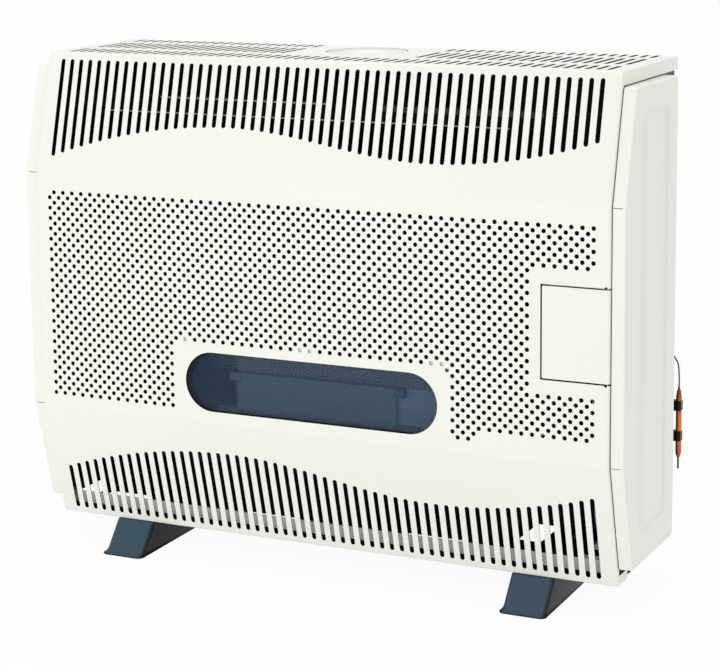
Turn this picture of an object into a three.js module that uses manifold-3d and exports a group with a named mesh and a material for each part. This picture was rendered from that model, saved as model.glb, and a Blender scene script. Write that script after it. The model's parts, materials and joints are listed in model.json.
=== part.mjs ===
// Wall mounted gas heater: folded sheet casing, side trays, feet, combustion chamber, burner and controls.
// Millimetres, +Z up, front towards -Y. The origin is on the floor, at the middle of the heater's plan.
import * as THREE from 'three';
import { mergeVertices } from 'three/addons/utils/BufferGeometryUtils.js';
import Module from 'manifold-3d';

const wasm = await Module();
wasm.setup();

// ---------------------------------------------------------------- driving dimensions

// Clearances
const SEAT_GAP = 0.3; // between pieces that rest on or against each other
const RUNNING_GAP = 0.3; // between pieces that turn or slide
const CUT_MARGIN = 5; // how far a cutting tool runs past the wall it cuts

// Sheet metal
const SHEET = 1.2;
const BEND_RADIUS = 3;

// Front casing, one folded sheet
const CASING_WIDTH = 805;
const CASING_DEPTH = 256;
const LOWER_FACET_HEIGHT = 160.5;
const MIDDLE_FACET_HEIGHT = 317.5;
const UPPER_FACET_HEIGHT = 157;
const FACET_SETBACK = 42;
const SKIRT_HEIGHT = 17;
const SIDE_RETURN_DEPTH = 6;
const BOTTOM_RETURN_DEPTH = 33;
const BOTTOM_RETURN_HEIGHT = 14;
const REAR_FLANGE_HEIGHT = 15;

// Louvre slots
const SLOT_PITCH = 14;
const SLOT_WIDTH = 6;
const SLOT_COUNT = 55;
const SLOT_END_STEPS = 2;
const WINDOW_END_STEPS = 12;
const SLOT_END_MARGIN = 8.5; // from a facet's far edge to the near slot end
const WAVE_CREST_X = -120;
const WAVE_TROUGH_X = 163;
const WAVE_LEFT_FALL = 0.0007;
const WAVE_RIGHT_RISE = 0.00075;
const UPPER_WAVE = { crest: 588, trough: 557.2 };
const LOWER_WAVE = { crest: 159.6, trough: 125 };

// Rows of slots in the top: "behind" is from the top's front edge, "ahead" from its rear edge
const TOP_ROW_FRONT_BEHIND = { start: 15, end: 60 };
const TOP_ROW_MIDDLE_BEHIND = 84;
const TOP_ROW_MIDDLE_AHEAD = 56;
const TOP_ROW_REAR_AHEAD = { start: 36, end: 4 };
const TOP_ROW_CLEAR_X = 96; // the middle and rear rows keep clear of the flue outlet

// Viewing window
const WINDOW_WIDTH = 358;
const WINDOW_HEIGHT = 79;
const WINDOW_CENTRE_Z = 257;
const PANE_THICKNESS = 4;
const PANE_OVERLAP = 9;
const PANE_RAIL_HEIGHT = 6;
const PANE_CLIP_HEIGHT = 10;
const PANE_CLIP_BITE = 5;
const PANE_CLIPS = {
  left: { x: -178.5, width: 16 },
  middle: { x: -3.5, width: 20 },
  right: { x: 180, width: 26 },
};

// Control flap
const FLAP_LEFT_X = 314.7;
const FLAP_BOTTOM_Z = 304.2;
const FLAP_TOP_Z = 422.1;
const FLAP_SLIT = 2;
const HINGE_INSET = 3.6; // pin axis to the casing's side face and front face
const HINGE_PIN_RADIUS = 1.5;
const HINGE_EAR_WIDTH = 13;
const HINGE_EAR_DEPTH = 8;
const HINGE_SHELF_GAP = 2.4; // from the opening's edge to the hinge's shelf
const HINGE_SHELF_HEIGHT = 1.6;
const HINGE_LEAF_HEIGHT = 12;
const HINGE_PIN_REACH = 3;
const CATCH_WIDTH = 10;
const CATCH_TONGUE = 9;
const CATCH_DEPTH = 6;
const CATCH_TONGUE_DEPTH = 2.5;

// Side trays
const TRAY_STANDOFF = 18.2; // outer face beyond the casing's side
const TRAY_SLIT = 2; // between the casing's side and the tray's front strip
const TRAY_STRIP_SETBACK = 4; // strip behind the casing's facets
const TRAY_DEPTH = 201; // rear edge behind the casing's front
const TRAY_BOTTOM_Z = 64;
const TRAY_TOP_GAP = 1.5; // below the casing's skirt
const TRAY_FIELD_DEPTH = 3.5;
const TRAY_FIELD_FRONT = 71;
const TRAY_FIELD_REAR = 164;
const TRAY_FIELD_BORDER_LOW = 41;
const TRAY_FIELD_BORDER_HIGH = 35;
const TRAY_FIELD_RADIUS = 12;

// Inner frame
const FRAME_INSET = 4.5; // side frames inside the casing's side
const FRAME_SETBACK = 6; // side frames behind the casing's top front edge
const BASE_LIP_HEIGHT = 28;
const BASE_OPENING_DEPTH = 76;
const BASE_OPENING_FRONT = 66; // front row, behind the casing's front
const BASE_OPENING_REAR = 17; // rear row, ahead of the casing's rear
const BASE_OPENING_MIDDLE = { x: 120, width: 80 };
const BASE_OPENING_INNER = { x: 238, width: 32 }; // between the chamber's leg and the foot
const BASE_OPENING_OUTER = { x: 352, width: 66 }; // beyond the foot
const FRAME_OPENING_TOP_Z = 61.5; // the side frames are open below the trays
const KEYHOLE_SPACING = 500;
const KEYHOLE_HEAD_RADIUS = 6;
const KEYHOLE_SLOT_RADIUS = 3;
const KEYHOLE_RISE = 14;
const KEYHOLE_Z = 620;
const RAIL_LOW_Z = 600;
const RAIL_HEIGHT = 22;
const RAIL_DEPTH = 18;

// Feet
const FOOT_HEIGHT = 40.7;
const FOOT_WIDTH = 58;
const FOOT_CENTRE_X = 289;
const FOOT_SHEET = 2;
const FOOT_RADIUS = 9;
const FOOT_LIP = 6;
const FOOT_FRONT_REACH = 34; // foot of the sloped face ahead of its top edge
const FOOT_REAR_REACH = 10;
const FOOT_REAR_INSET = 24;
const SCREW_RADIUS = 2;
const SCREW_HEAD_RADIUS = 4.5;
const SCREW_HEAD_HEIGHT = 2.6;
const SCREW_HOLE_CLEARANCE = 0.4;
const SCREW_SLOT_WIDTH = 1;
const SCREW_SLOT_LENGTH = 4.8;
const SCREW_END = 6; // above the sheet it holds
const FOOT_SCREW_INSET = 12;
const FOOT_SCREW_REAR_INSET = 20;
const CASING_SCREW_X = 180;
const CASING_SCREW_SHARE = 0.7; // of the bottom return's depth

// Flue
const FLUE_CENTRE_AHEAD = 71; // top outlet ahead of the casing's rear
const FLUE_OPENING_RADIUS = 54.5;
const FLUE_DISH_DEPTH = 12;
const FLUE_DISH_SKIRT = 22;
const FLUE_SPIGOT_RADIUS = 54;
const FLUE_SPIGOT_WALL = 1.2;
const FLUE_BOX_WIDTH = 220;
const FLUE_BOX_HEIGHT = 121;
const FLUE_BOX_DEPTH = 112;
const FLUE_INLET_RADIUS = 40;
const FLUE_COLLAR_LAP = 6; // how far the collar reaches up inside the cap's skirt
const FLUE_HOLE_CLEARANCE = 2.5;
const FLUE_RIM_LAND = 1.5;
const FLUE_BOWL = [[0, 1], [0.35, 0.95], [0.7, 0.72], [0.9, 0.38]]; // shares of radius and depth
const DRAUGHT_OPENING_WIDTH = 132;
const DRAUGHT_OPENING_HEIGHT = 30;
const DRAUGHT_OPENING_SILL = 6;

// Combustion chamber
const CHAMBER_WIDTH = 450;
const CHAMBER_FRONT_BACK = 30; // open front behind the casing's front
const CHAMBER_REAR_SPACE = 42; // ahead of the casing's rear
const CHAMBER_BOTTOM_Z = 150;
const CHAMBER_HEIGHT = 379;
const CHAMBER_WALL = 1.5;
const CHAMBER_FLANGE = 10;
const CHAMBER_APRON_Z = 75; // lower edge of the apron under the chamber, above the base pan's lip
const CHAMBER_APRON_BACK = 10; // apron behind the chamber's open front
const CHAMBER_AIR_WIDTH = 79;
const CHAMBER_AIR_DEPTH = 30;
const CHAMBER_AIR_SPACING = 15;
const CHAMBER_AIR_COLUMNS = [-1.5, -0.5, 0.5, 1.5];
const CHAMBER_AIR_SETBACK = 5; // behind the burner's axis
const LEG_WIDTH = 24;
const LEG_INSET = 12;
const SHIELD_GAP = 22;

// Chamber glass, seen through the window
const INNER_PANE_WIDTH = 226;
const INNER_PANE_BOTTOM_Z = 216;
const INNER_PANE_HEIGHT = 52;
const INNER_APERTURE_BORDER = 8;
const GASKET_THICKNESS = 1.7;
const LOWER_CLIP_WIDTH = 30;
const UPPER_CLIP_WIDTH = 12;
const CLIP_HEIGHT = 15;
const CLIP_BITE = 4;
const CLIP_SHEET = 1;

// Burner and its gas line
const BURNER_RADIUS = 18;
const BURNER_WALL = 1.5;
const BURNER_Z = 195;
const BURNER_BACK = 98; // axis behind the chamber's open front
const PORT_COUNT = 16;
const PORT_PITCH = 24;
const PORT_WIDTH = 3;
const PORT_LENGTH = 16;
const INJECTOR_RADIUS = 6;
const INJECTOR_NUT_RADIUS = 7.8;
const INJECTOR_LENGTH = 22;
const INJECTOR_NOSE_RADIUS = 3;
const INJECTOR_NOSE_LENGTH = 10;
const BURNER_PIPE_RADIUS = 4;

// Pilot group, in front of the burner
const PILOT_X = 52;
const PILOT_SPACING = 17;
const PILOT_PLATE_WIDTH = 54;
const PILOT_PLATE_DEPTH = 22;
const PILOT_PLATE_Z = 188;
const PILOT_HEAD_RADIUS = 5;
const PILOT_HEAD_HEIGHT = 20;
const THERMOCOUPLE_RADIUS = 1.6;
const ELECTRODE_RADIUS = 3;
const SMALL_TUBE_RADIUS = 1.6;
const LANE_Z = 165;
const PILOT_LANE_BACK = 53; // each lane is behind the chamber's open front
const THERMOCOUPLE_LANE_BACK = 33;
const LEAD_LANE_BACK = 13;
const LANE_HOLE_RADIUS = 5;

// Gas valve and controls behind the flap
const CONTROL_PLATE_BACK = 40; // front face of the plate behind the casing's front
const CONTROL_PLATE_BORDER = 4;
const CONTROL_FLANGE_DEPTH = 18;
const VALVE_WIDTH = 46;
const VALVE_DEPTH = 46;
const VALVE_HEIGHT = 60;
const VALVE_BOTTOM_Z = 344;
const VALVE_BOSS_RADIUS = 13;
const VALVE_BOSS_LENGTH = 10.5;
const VALVE_CAP_HEIGHT = 5;
const END_PLAY = 2; // past the end of a pushed piece's travel
const KNOB_X = 350;
const KNOB_Z = 376;
const KNOB_RADIUS = 22;
const KNOB_LENGTH = 20;
const KNOB_WALL = 4;
const KNOB_FACE = 8;
const KNOB_HUB_RADIUS = 8;
const KNOB_GRIP_HEIGHT = 5;
const KNOB_GRIP_REACH = 18;
const KNOB_STANDOFF = 6; // rear rim in front of the control plate
const KNOB_TRAVEL = 5;
const SPINDLE_RADIUS = 4;
const SPINDLE_REACH = 8; // how deep the spindle reaches into the valve at rest
const COLLAR_RADIUS = 7.6;
const COLLAR_LENGTH = 3;
const BUTTON_X = 380;
const BUTTON_Z = 322;
const BUTTON_RADIUS = 7;
const BUTTON_LENGTH = 8;
const BUTTON_TRAVEL = 6;
const BUTTON_STEM_RADIUS = 3.5;
const BUTTON_STEM_REACH = 8;
const IGNITER_RADIUS = 9;
const IGNITER_LENGTH = 36;

// Gas inlet
const INLET_PIPE_RADIUS = 6;
const INLET_Z = 85;
const INLET_UNION_RADIUS = 11;
const INLET_UNION_LENGTH = 19;
const INLET_FLANGE_RADIUS = 18;
const INLET_BORE_RADIUS = 4;
const INLET_HOLE_CLEARANCE = 2;
const HEXAGON = 6;

// Thermostat bulb
const BULB_RADIUS = 3.75;
const BULB_BOTTOM_Z = 157;
const BULB_LENGTH = 80;
const BULB_TAIL = 15;
const BULB_TAIL_RADIUS = 1.3;
const BULB_NECK = 5;
const BULB_OUT = 17.3; // axis beyond the side frame
const BULB_AHEAD = 18; // axis ahead of the casing's rear
const BULB_CLIP_HEIGHT = 13;
const BULB_CLIP_LOW_Z = 179.5;
const BULB_CLIP_HIGH_Z = 219.8;
const BULB_CLIP_WALL = 2.4;
const BULB_CLIP_ARM = 5; // half the width of a clip's arm
const BULB_SIDES = 20;
const CAPILLARY_RADIUS = 1;
const CAPILLARY_HOLE_RADIUS = 4.5;
const CAPILLARY_ENTRY_Z = 303;

// Roundness
const ROUND = 24;
const SMALL_ROUND = 16;
const TUBE_SIDES = 10;
const SMALL_TUBE_SIDES = 6;
const TUBE_STEP = 12;
const LONG_TUBE_STEP = 16;

// ---------------------------------------------------------------- levels and planes worked out from them

const FRONT = -CASING_DEPTH / 2;
const BACK = CASING_DEPTH / 2;
const HALF_WIDTH = CASING_WIDTH / 2;
const CASING_BOTTOM = FOOT_HEIGHT + SEAT_GAP;
const LOWER_BEND = CASING_BOTTOM + LOWER_FACET_HEIGHT;
const UPPER_BEND = LOWER_BEND + MIDDLE_FACET_HEIGHT;
const CASING_TOP = UPPER_BEND + UPPER_FACET_HEIGHT;
const FACET_EDGE_Y = FRONT + FACET_SETBACK;
const PANEL_BACK_Y = FRONT + SHEET;

const BASE_BOTTOM = CASING_BOTTOM + SHEET + SEAT_GAP;
const BASE_TOP = BASE_BOTTOM + SHEET;
const FRAME_OUT = HALF_WIDTH - FRAME_INSET;
const FRAME_IN = FRAME_OUT - SHEET;
const FRAME_FRONT_Y = FACET_EDGE_Y + FRAME_SETBACK;
const FRAME_BOTTOM = BASE_TOP + SEAT_GAP;
const FRAME_TOP = CASING_TOP - SHEET - SEAT_GAP;
const BACK_PANEL_REAR_Y = BACK - SHEET - SEAT_GAP;
const BACK_PANEL_FRONT_Y = BACK_PANEL_REAR_Y - SHEET;
const FRAME_REAR_Y = BACK_PANEL_FRONT_Y - SEAT_GAP;
const INSIDE_X = FRAME_IN - SEAT_GAP;

const CHAMBER_FRONT_Y = FRONT + CHAMBER_FRONT_BACK;
const CHAMBER_REAR_Y = BACK - CHAMBER_REAR_SPACE;
const CHAMBER_TOP_Z = CHAMBER_BOTTOM_Z + CHAMBER_HEIGHT;
const BURNER_Y = CHAMBER_FRONT_Y + BURNER_BACK;
const PILOT_LANE_Y = CHAMBER_FRONT_Y + PILOT_LANE_BACK;
const THERMOCOUPLE_LANE_Y = CHAMBER_FRONT_Y + THERMOCOUPLE_LANE_BACK;
const LEAD_LANE_Y = CHAMBER_FRONT_Y + LEAD_LANE_BACK;
const CHAMBER_SIDE_X = CHAMBER_WIDTH / 2;
const CHAMBER_PLATE_REAR_Y = CHAMBER_FRONT_Y - SEAT_GAP;
const CHAMBER_PLATE_FRONT_Y = CHAMBER_PLATE_REAR_Y - CHAMBER_WALL;
const INNER_PANE_REAR_Y = CHAMBER_PLATE_FRONT_Y - GASKET_THICKNESS - 2 * SEAT_GAP;
const INNER_PANE_FRONT_Y = INNER_PANE_REAR_Y - PANE_THICKNESS;
const INNER_PANE_TOP_Z = INNER_PANE_BOTTOM_Z + INNER_PANE_HEIGHT;

const FLUE_Y = BACK - FLUE_CENTRE_AHEAD;
const FLUE_BOX_BOTTOM = CHAMBER_TOP_Z + SEAT_GAP;
const FLUE_BOX_TOP = FLUE_BOX_BOTTOM + FLUE_BOX_HEIGHT;
const FLUE_BOX_REAR_Y = FLUE_Y + FLUE_BOX_DEPTH / 3;
const FLUE_BOX_FRONT_Y = FLUE_BOX_REAR_Y - FLUE_BOX_DEPTH;
const FLUE_SPIGOT_Z = (FLUE_BOX_BOTTOM + FLUE_BOX_TOP) / 2;
const FLUE_DISH_RADIUS = FLUE_OPENING_RADIUS - SEAT_GAP;
const FLUE_COLLAR_RADIUS = FLUE_DISH_RADIUS - SHEET - SEAT_GAP;
const FLUE_COLLAR_TOP = CASING_TOP - FLUE_DISH_SKIRT + FLUE_COLLAR_LAP;

const CONTROL_PLATE_Y = FRONT + CONTROL_PLATE_BACK;
const CONTROL_PLATE_REAR_Y = CONTROL_PLATE_Y + SHEET;
const VALVE_BOSS_FRONT_Y = CONTROL_PLATE_REAR_Y + SEAT_GAP;
const VALVE_FRONT_Y = VALVE_BOSS_FRONT_Y + VALVE_BOSS_LENGTH;
const VALVE_REAR_Y = VALVE_FRONT_Y + VALVE_DEPTH;
const VALVE_LEFT_X = KNOB_X - VALVE_WIDTH / 2;
const VALVE_RIGHT_X = KNOB_X + VALVE_WIDTH / 2;
const VALVE_TOP_Z = VALVE_BOTTOM_Z + VALVE_HEIGHT;
const HINGE_X = HALF_WIDTH - HINGE_INSET;
const HINGE_Y = FRONT + HINGE_INSET;

const BULB_X = FRAME_OUT + BULB_OUT;
const BULB_Y = BACK - BULB_AHEAD;
const BULB_TOP_Z = BULB_BOTTOM_Z + BULB_LENGTH;
const WINDOW_TOP_Z = WINDOW_CENTRE_Z + WINDOW_HEIGHT / 2;
const WINDOW_BOTTOM_Z = WINDOW_CENTRE_Z - WINDOW_HEIGHT / 2;
const OUTER_PANE_FRONT_Y = PANEL_BACK_Y + SEAT_GAP;
const OUTER_PANE_REAR_Y = OUTER_PANE_FRONT_Y + PANE_THICKNESS;
const OUTER_PANE_HALF_WIDTH = WINDOW_WIDTH / 2 + PANE_OVERLAP;

// ---------------------------------------------------------------- solids

/** A closed three.js geometry as a solid that can be joined and cut. */
function solidFrom(geometry) {
  const bare = new THREE.BufferGeometry();
  bare.setAttribute('position', geometry.getAttribute('position'));
  if (geometry.index) bare.setIndex(geometry.index);
  const merged = mergeVertices(bare, 1e-4);
  const vertProperties = new Float32Array(merged.getAttribute('position').array);
  const triVerts = new Uint32Array(merged.index.array);
  return new wasm.Manifold(new wasm.Mesh({ numProp: 3, vertProperties, triVerts }));
}

/** A solid as a three.js geometry. */
function geometryFrom(solid) {
  const mesh = solid.getMesh();
  const geometry = new THREE.BufferGeometry();
  geometry.setAttribute('position', new THREE.BufferAttribute(mesh.vertProperties, 3));
  geometry.setIndex(new THREE.BufferAttribute(mesh.triVerts, 1));
  geometry.computeVertexNormals();
  return geometry;
}

/** A block between two values on each axis. */
function block([x0, x1], [y0, y1], [z0, z1]) {
  const geometry = new THREE.BoxGeometry(x1 - x0, y1 - y0, z1 - z0);
  geometry.translate((x0 + x1) / 2, (y0 + y1) / 2, (z0 + z1) / 2);
  return solidFrom(geometry);
}

/** Points in a plane as an extruded solid of the given length, before it is turned. */
function extrusion(outline, length) {
  const points = outline.map(([u, v]) => new THREE.Vector2(u, v));
  if (THREE.ShapeUtils.isClockWise(points)) points.reverse();
  return new THREE.ExtrudeGeometry(new THREE.Shape(points), { depth: length, bevelEnabled: false });
}

/** Outline in (y, z), extruded from x0 to x1. */
function prismX(outline, [x0, x1]) {
  const geometry = extrusion(outline, x1 - x0);
  const turn = new THREE.Matrix4().makeBasis(
    new THREE.Vector3(0, 1, 0), new THREE.Vector3(0, 0, 1), new THREE.Vector3(1, 0, 0));
  geometry.applyMatrix4(turn.setPosition(x0, 0, 0));
  return solidFrom(geometry);
}

/** Outline in (x, z), extruded from y0 to y1. */
function prismY(outline, [y0, y1]) {
  const geometry = extrusion(outline, y1 - y0);
  const turn = new THREE.Matrix4().makeBasis(
    new THREE.Vector3(1, 0, 0), new THREE.Vector3(0, 0, 1), new THREE.Vector3(0, -1, 0));
  geometry.applyMatrix4(turn.setPosition(0, y1, 0));
  return solidFrom(geometry);
}

/** Outline in (x, y), extruded from z0 to z1. */
function prismZ(outline, [z0, z1]) {
  const geometry = extrusion(outline, z1 - z0);
  geometry.translate(0, 0, z0);
  return solidFrom(geometry);
}

/** A circle's points around a centre, for a prism. */
function circle([u, v], radius, sides = SMALL_ROUND) {
  return Array.from({ length: sides }, (_, step) => {
    const angle = ((step + 0.5) / sides) * 2 * Math.PI;
    return [u + radius * Math.cos(angle), v + radius * Math.sin(angle)];
  });
}

/** A slot's outline with round ends, between two end points on a line along u or v. */
function slotOutline(start, end, width, endSteps = SLOT_END_STEPS) {
  const along = Math.atan2(end[1] - start[1], end[0] - start[0]);
  const radius = width / 2;
  const outline = [];
  for (const [centre, turn] of [[start, Math.PI], [end, 0]]) {
    const centreU = centre[0] + radius * Math.cos(along) * (turn ? 1 : -1);
    const centreV = centre[1] + radius * Math.sin(along) * (turn ? 1 : -1);
    for (let step = 0; step <= endSteps; step += 1) {
      const angle = along + turn - Math.PI / 2 + (step / endSteps) * Math.PI;
      outline.push([centreU + radius * Math.cos(angle), centreV + radius * Math.sin(angle)]);
    }
  }
  return outline;
}

/** A rectangle's outline with round corners. */
function roundedRectangle([u0, u1], [v0, v1], radius, cornerSteps = 4) {
  const outline = [];
  const corners = [[u1 - radius, v1 - radius], [u0 + radius, v1 - radius],
    [u0 + radius, v0 + radius], [u1 - radius, v0 + radius]];
  corners.forEach(([u, v], quarter) => {
    for (let step = 0; step <= cornerSteps; step += 1) {
      const angle = (quarter + step / cornerSteps) * (Math.PI / 2);
      outline.push([u + radius * Math.cos(angle), v + radius * Math.sin(angle)]);
    }
  });
  return outline;
}

/** An open path moved sideways by a distance, to the left of its direction, with mitred corners. */
function offsetPath(path, distance) {
  const normals = path.slice(1).map(([u, v], index) => {
    const [u0, v0] = path[index];
    const length = Math.hypot(u - u0, v - v0);
    return [-(v - v0) / length, (u - u0) / length];
  });
  return path.map(([u, v], index) => {
    const before = normals[Math.max(index - 1, 0)];
    const after = normals[Math.min(index, normals.length - 1)];
    const share = distance / (1 + before[0] * after[0] + before[1] * after[1]);
    return [u + (before[0] + after[0]) * share, v + (before[1] + after[1]) * share];
  });
}

/** An open path with its inner corners rounded. */
function filletPath(path, radius, steps = 3) {
  const rounded = [path[0]];
  for (let index = 1; index < path.length - 1; index += 1) {
    const corner = new THREE.Vector2(...path[index]);
    const toBefore = new THREE.Vector2(...path[index - 1]).sub(corner).normalize();
    const toAfter = new THREE.Vector2(...path[index + 1]).sub(corner).normalize();
    const half = toBefore.angleTo(toAfter) / 2;
    const reach = radius / Math.tan(half);
    const start = corner.clone().addScaledVector(toBefore, reach);
    const end = corner.clone().addScaledVector(toAfter, reach);
    for (let step = 0; step <= steps; step += 1) {
      const share = step / steps;
      const first = start.clone().lerp(corner, share);
      const second = corner.clone().lerp(end, share);
      const point = first.lerp(second, share);
      rounded.push([point.x, point.y]);
    }
  }
  rounded.push(path[path.length - 1]);
  return rounded;
}

/** A folded sheet's closed outline. The path is its outer side, on the left where thickness is over 0. */
function sheetOutline(path, thickness, radius) {
  const outer = filletPath(path, radius);
  const inner = filletPath(offsetPath(path, -thickness), radius - Math.abs(thickness));
  return [...outer, ...inner.reverse()];
}

/** A cylinder along an axis name, from one value on that axis to another. */
function cylinder(axis, [u, v], radius, span, sides = SMALL_ROUND) {
  const prisms = { x: prismX, y: prismY, z: prismZ };
  return prisms[axis](circle([u, v], radius, sides), span);
}

/** A ring or tube along an axis: the outer cylinder less the bore. */
function ring(axis, centre, outerRadius, innerRadius, [from, to], sides = SMALL_ROUND) {
  const bore = cylinder(axis, centre, innerRadius, [from - CUT_MARGIN, to + CUT_MARGIN], sides);
  return cylinder(axis, centre, outerRadius, [from, to], sides).subtract(bore);
}

/** A turned solid about a vertical axis, from (radius, height) points. */
function turned(profile, [x, y], sides = ROUND) {
  const points = profile.map(([radius, height]) => new THREE.Vector2(radius, height));
  if (THREE.ShapeUtils.isClockWise(points)) points.reverse();
  const geometry = new THREE.LatheGeometry(points, sides);
  geometry.rotateY(Math.PI / sides);
  geometry.rotateX(Math.PI / 2);
  geometry.translate(x, y, 0);
  return solidFrom(geometry);
}

/** A round tube along a smooth curve through points, ends square to the curve. */
function tube(points, radius, sides = TUBE_SIDES, step = TUBE_STEP) {
  const places = points.map((point) => new THREE.Vector3(...point));
  const curve = new THREE.CatmullRomCurve3(places, false, 'centripetal');
  const steps = Math.max(points.length * 2, Math.round(curve.getLength() / step));
  const section = new THREE.Shape(circle([0, 0], radius, sides).map(([u, v]) => new THREE.Vector2(u, v)));
  const geometry = new THREE.ExtrudeGeometry(section, { steps, extrudePath: curve, bevelEnabled: false });
  return solidFrom(geometry);
}

/** Several solids joined into one. */
function joined(...solids) {
  return solids.reduce((whole, solid) => whole.add(solid));
}

/** A solid with several others cut from it. */
function cut(solid, ...tools) {
  return tools.reduce((whole, tool) => whole.subtract(tool), solid);
}

/** The mirror image across the middle plane, left for right. */
function mirroredX(solid) {
  return solid.mirror([1, 0, 0]);
}

// ---------------------------------------------------------------- finishes

const cream = { color: 0xeeede3, roughness: 0.38, metalness: 0 };
const slate = { color: 0x3d4856, roughness: 0.32, metalness: 0.1 };
const darkSteel = { color: 0x2f363f, roughness: 0.55, metalness: 0.3 };
const zincSteel = { color: 0xb9bdbc, roughness: 0.4, metalness: 0.85 };
const alloy = { color: 0xaeb0ae, roughness: 0.45, metalness: 0.8 };
const brassFinish = { color: 0xb8923f, roughness: 0.35, metalness: 0.9 };
const copperFinish = { color: 0xc0673a, roughness: 0.3, metalness: 0.9 };
const blackPlastic = { color: 0x15171a, roughness: 0.5, metalness: 0 };
const redPlastic = { color: 0xa3261d, roughness: 0.35, metalness: 0 };
const ceramicWhite = { color: 0xe9e6dd, roughness: 0.3, metalness: 0 };
const smokedGlass = { color: 0x55677a, roughness: 0.05, metalness: 0, transparent: true, opacity: 0.35 };
const fibre = { color: 0xd8d4c8, roughness: 0.9, metalness: 0 };

const heater = new THREE.Group();

/** Adds one named piece to the heater. */
function addPiece(name, solid, finish) {
  const mesh = new THREE.Mesh(geometryFrom(solid), new THREE.MeshStandardMaterial(finish));
  mesh.name = name;
  heater.add(mesh);
}

// ---------------------------------------------------------------- front casing

/** Height of a wave of slot ends at a place across the front. */
function waveHeight(x, wave) {
  if (x < WAVE_CREST_X) return wave.crest - WAVE_LEFT_FALL * (x - WAVE_CREST_X) ** 2;
  if (x > WAVE_TROUGH_X) return wave.trough + WAVE_RIGHT_RISE * (x - WAVE_TROUGH_X) ** 2;
  const share = (x - WAVE_CREST_X) / (WAVE_TROUGH_X - WAVE_CREST_X);
  return wave.trough + (wave.crest - wave.trough) * 0.5 * (1 + Math.cos(Math.PI * share));
}

/** Where the slots stand across the front. */
function slotColumns() {
  return Array.from({ length: SLOT_COUNT }, (_, index) => (index - (SLOT_COUNT - 1) / 2) * SLOT_PITCH);
}

/** The casing's side profile in (y, z), from the lower return round to the rear flange. */
function casingPath() {
  return [
    [FACET_EDGE_Y + BOTTOM_RETURN_DEPTH, CASING_BOTTOM],
    [FACET_EDGE_Y, CASING_BOTTOM],
    [FRONT, LOWER_BEND],
    [FRONT, UPPER_BEND],
    [FACET_EDGE_Y, CASING_TOP],
    [BACK, CASING_TOP],
    [BACK, CASING_TOP - REAR_FLANGE_HEIGHT],
  ];
}

/** The three front facets' line, set back by a distance and run on past both ends. */
function facetLine(setback) {
  return offsetPath([[FACET_EDGE_Y, CASING_BOTTOM], [FRONT, LOWER_BEND],
    [FRONT, UPPER_BEND], [FACET_EDGE_Y, CASING_TOP]], -setback);
}

/** One side wall of the casing: skirt above, narrow return in front, deeper return at the bottom. */
function casingSide() {
  const span = [HALF_WIDTH - SHEET, HALF_WIDTH];
  const wide = [HALF_WIDTH - SHEET - CUT_MARGIN, HALF_WIDTH + CUT_MARGIN];
  const outline = [...filletPath(casingPath().slice(0, -1), BEND_RADIUS),
    [BACK, CASING_TOP - SKIRT_HEIGHT], [FACET_EDGE_Y + BOTTOM_RETURN_DEPTH, CASING_TOP - SKIRT_HEIGHT]];
  const behind = prismX([...facetLine(SIDE_RETURN_DEPTH), [BACK, CASING_TOP], [BACK, CASING_BOTTOM]], wide);
  const band = block(wide, [FRONT - CUT_MARGIN, BACK + CUT_MARGIN],
    [CASING_BOTTOM + BOTTOM_RETURN_HEIGHT, CASING_TOP - SKIRT_HEIGHT]);
  return prismX(outline, span).subtract(behind.intersect(band));
}

function topRows() {
  const front = FACET_EDGE_Y;
  const clear = TOP_ROW_CLEAR_X;
  return [
    { front: front + TOP_ROW_FRONT_BEHIND.start, rear: front + TOP_ROW_FRONT_BEHIND.end, clear: 0 },
    { front: front + TOP_ROW_MIDDLE_BEHIND, rear: BACK - TOP_ROW_MIDDLE_AHEAD, clear },
    { front: BACK - TOP_ROW_REAR_AHEAD.start, rear: BACK - TOP_ROW_REAR_AHEAD.end, clear },
  ];
}

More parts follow.
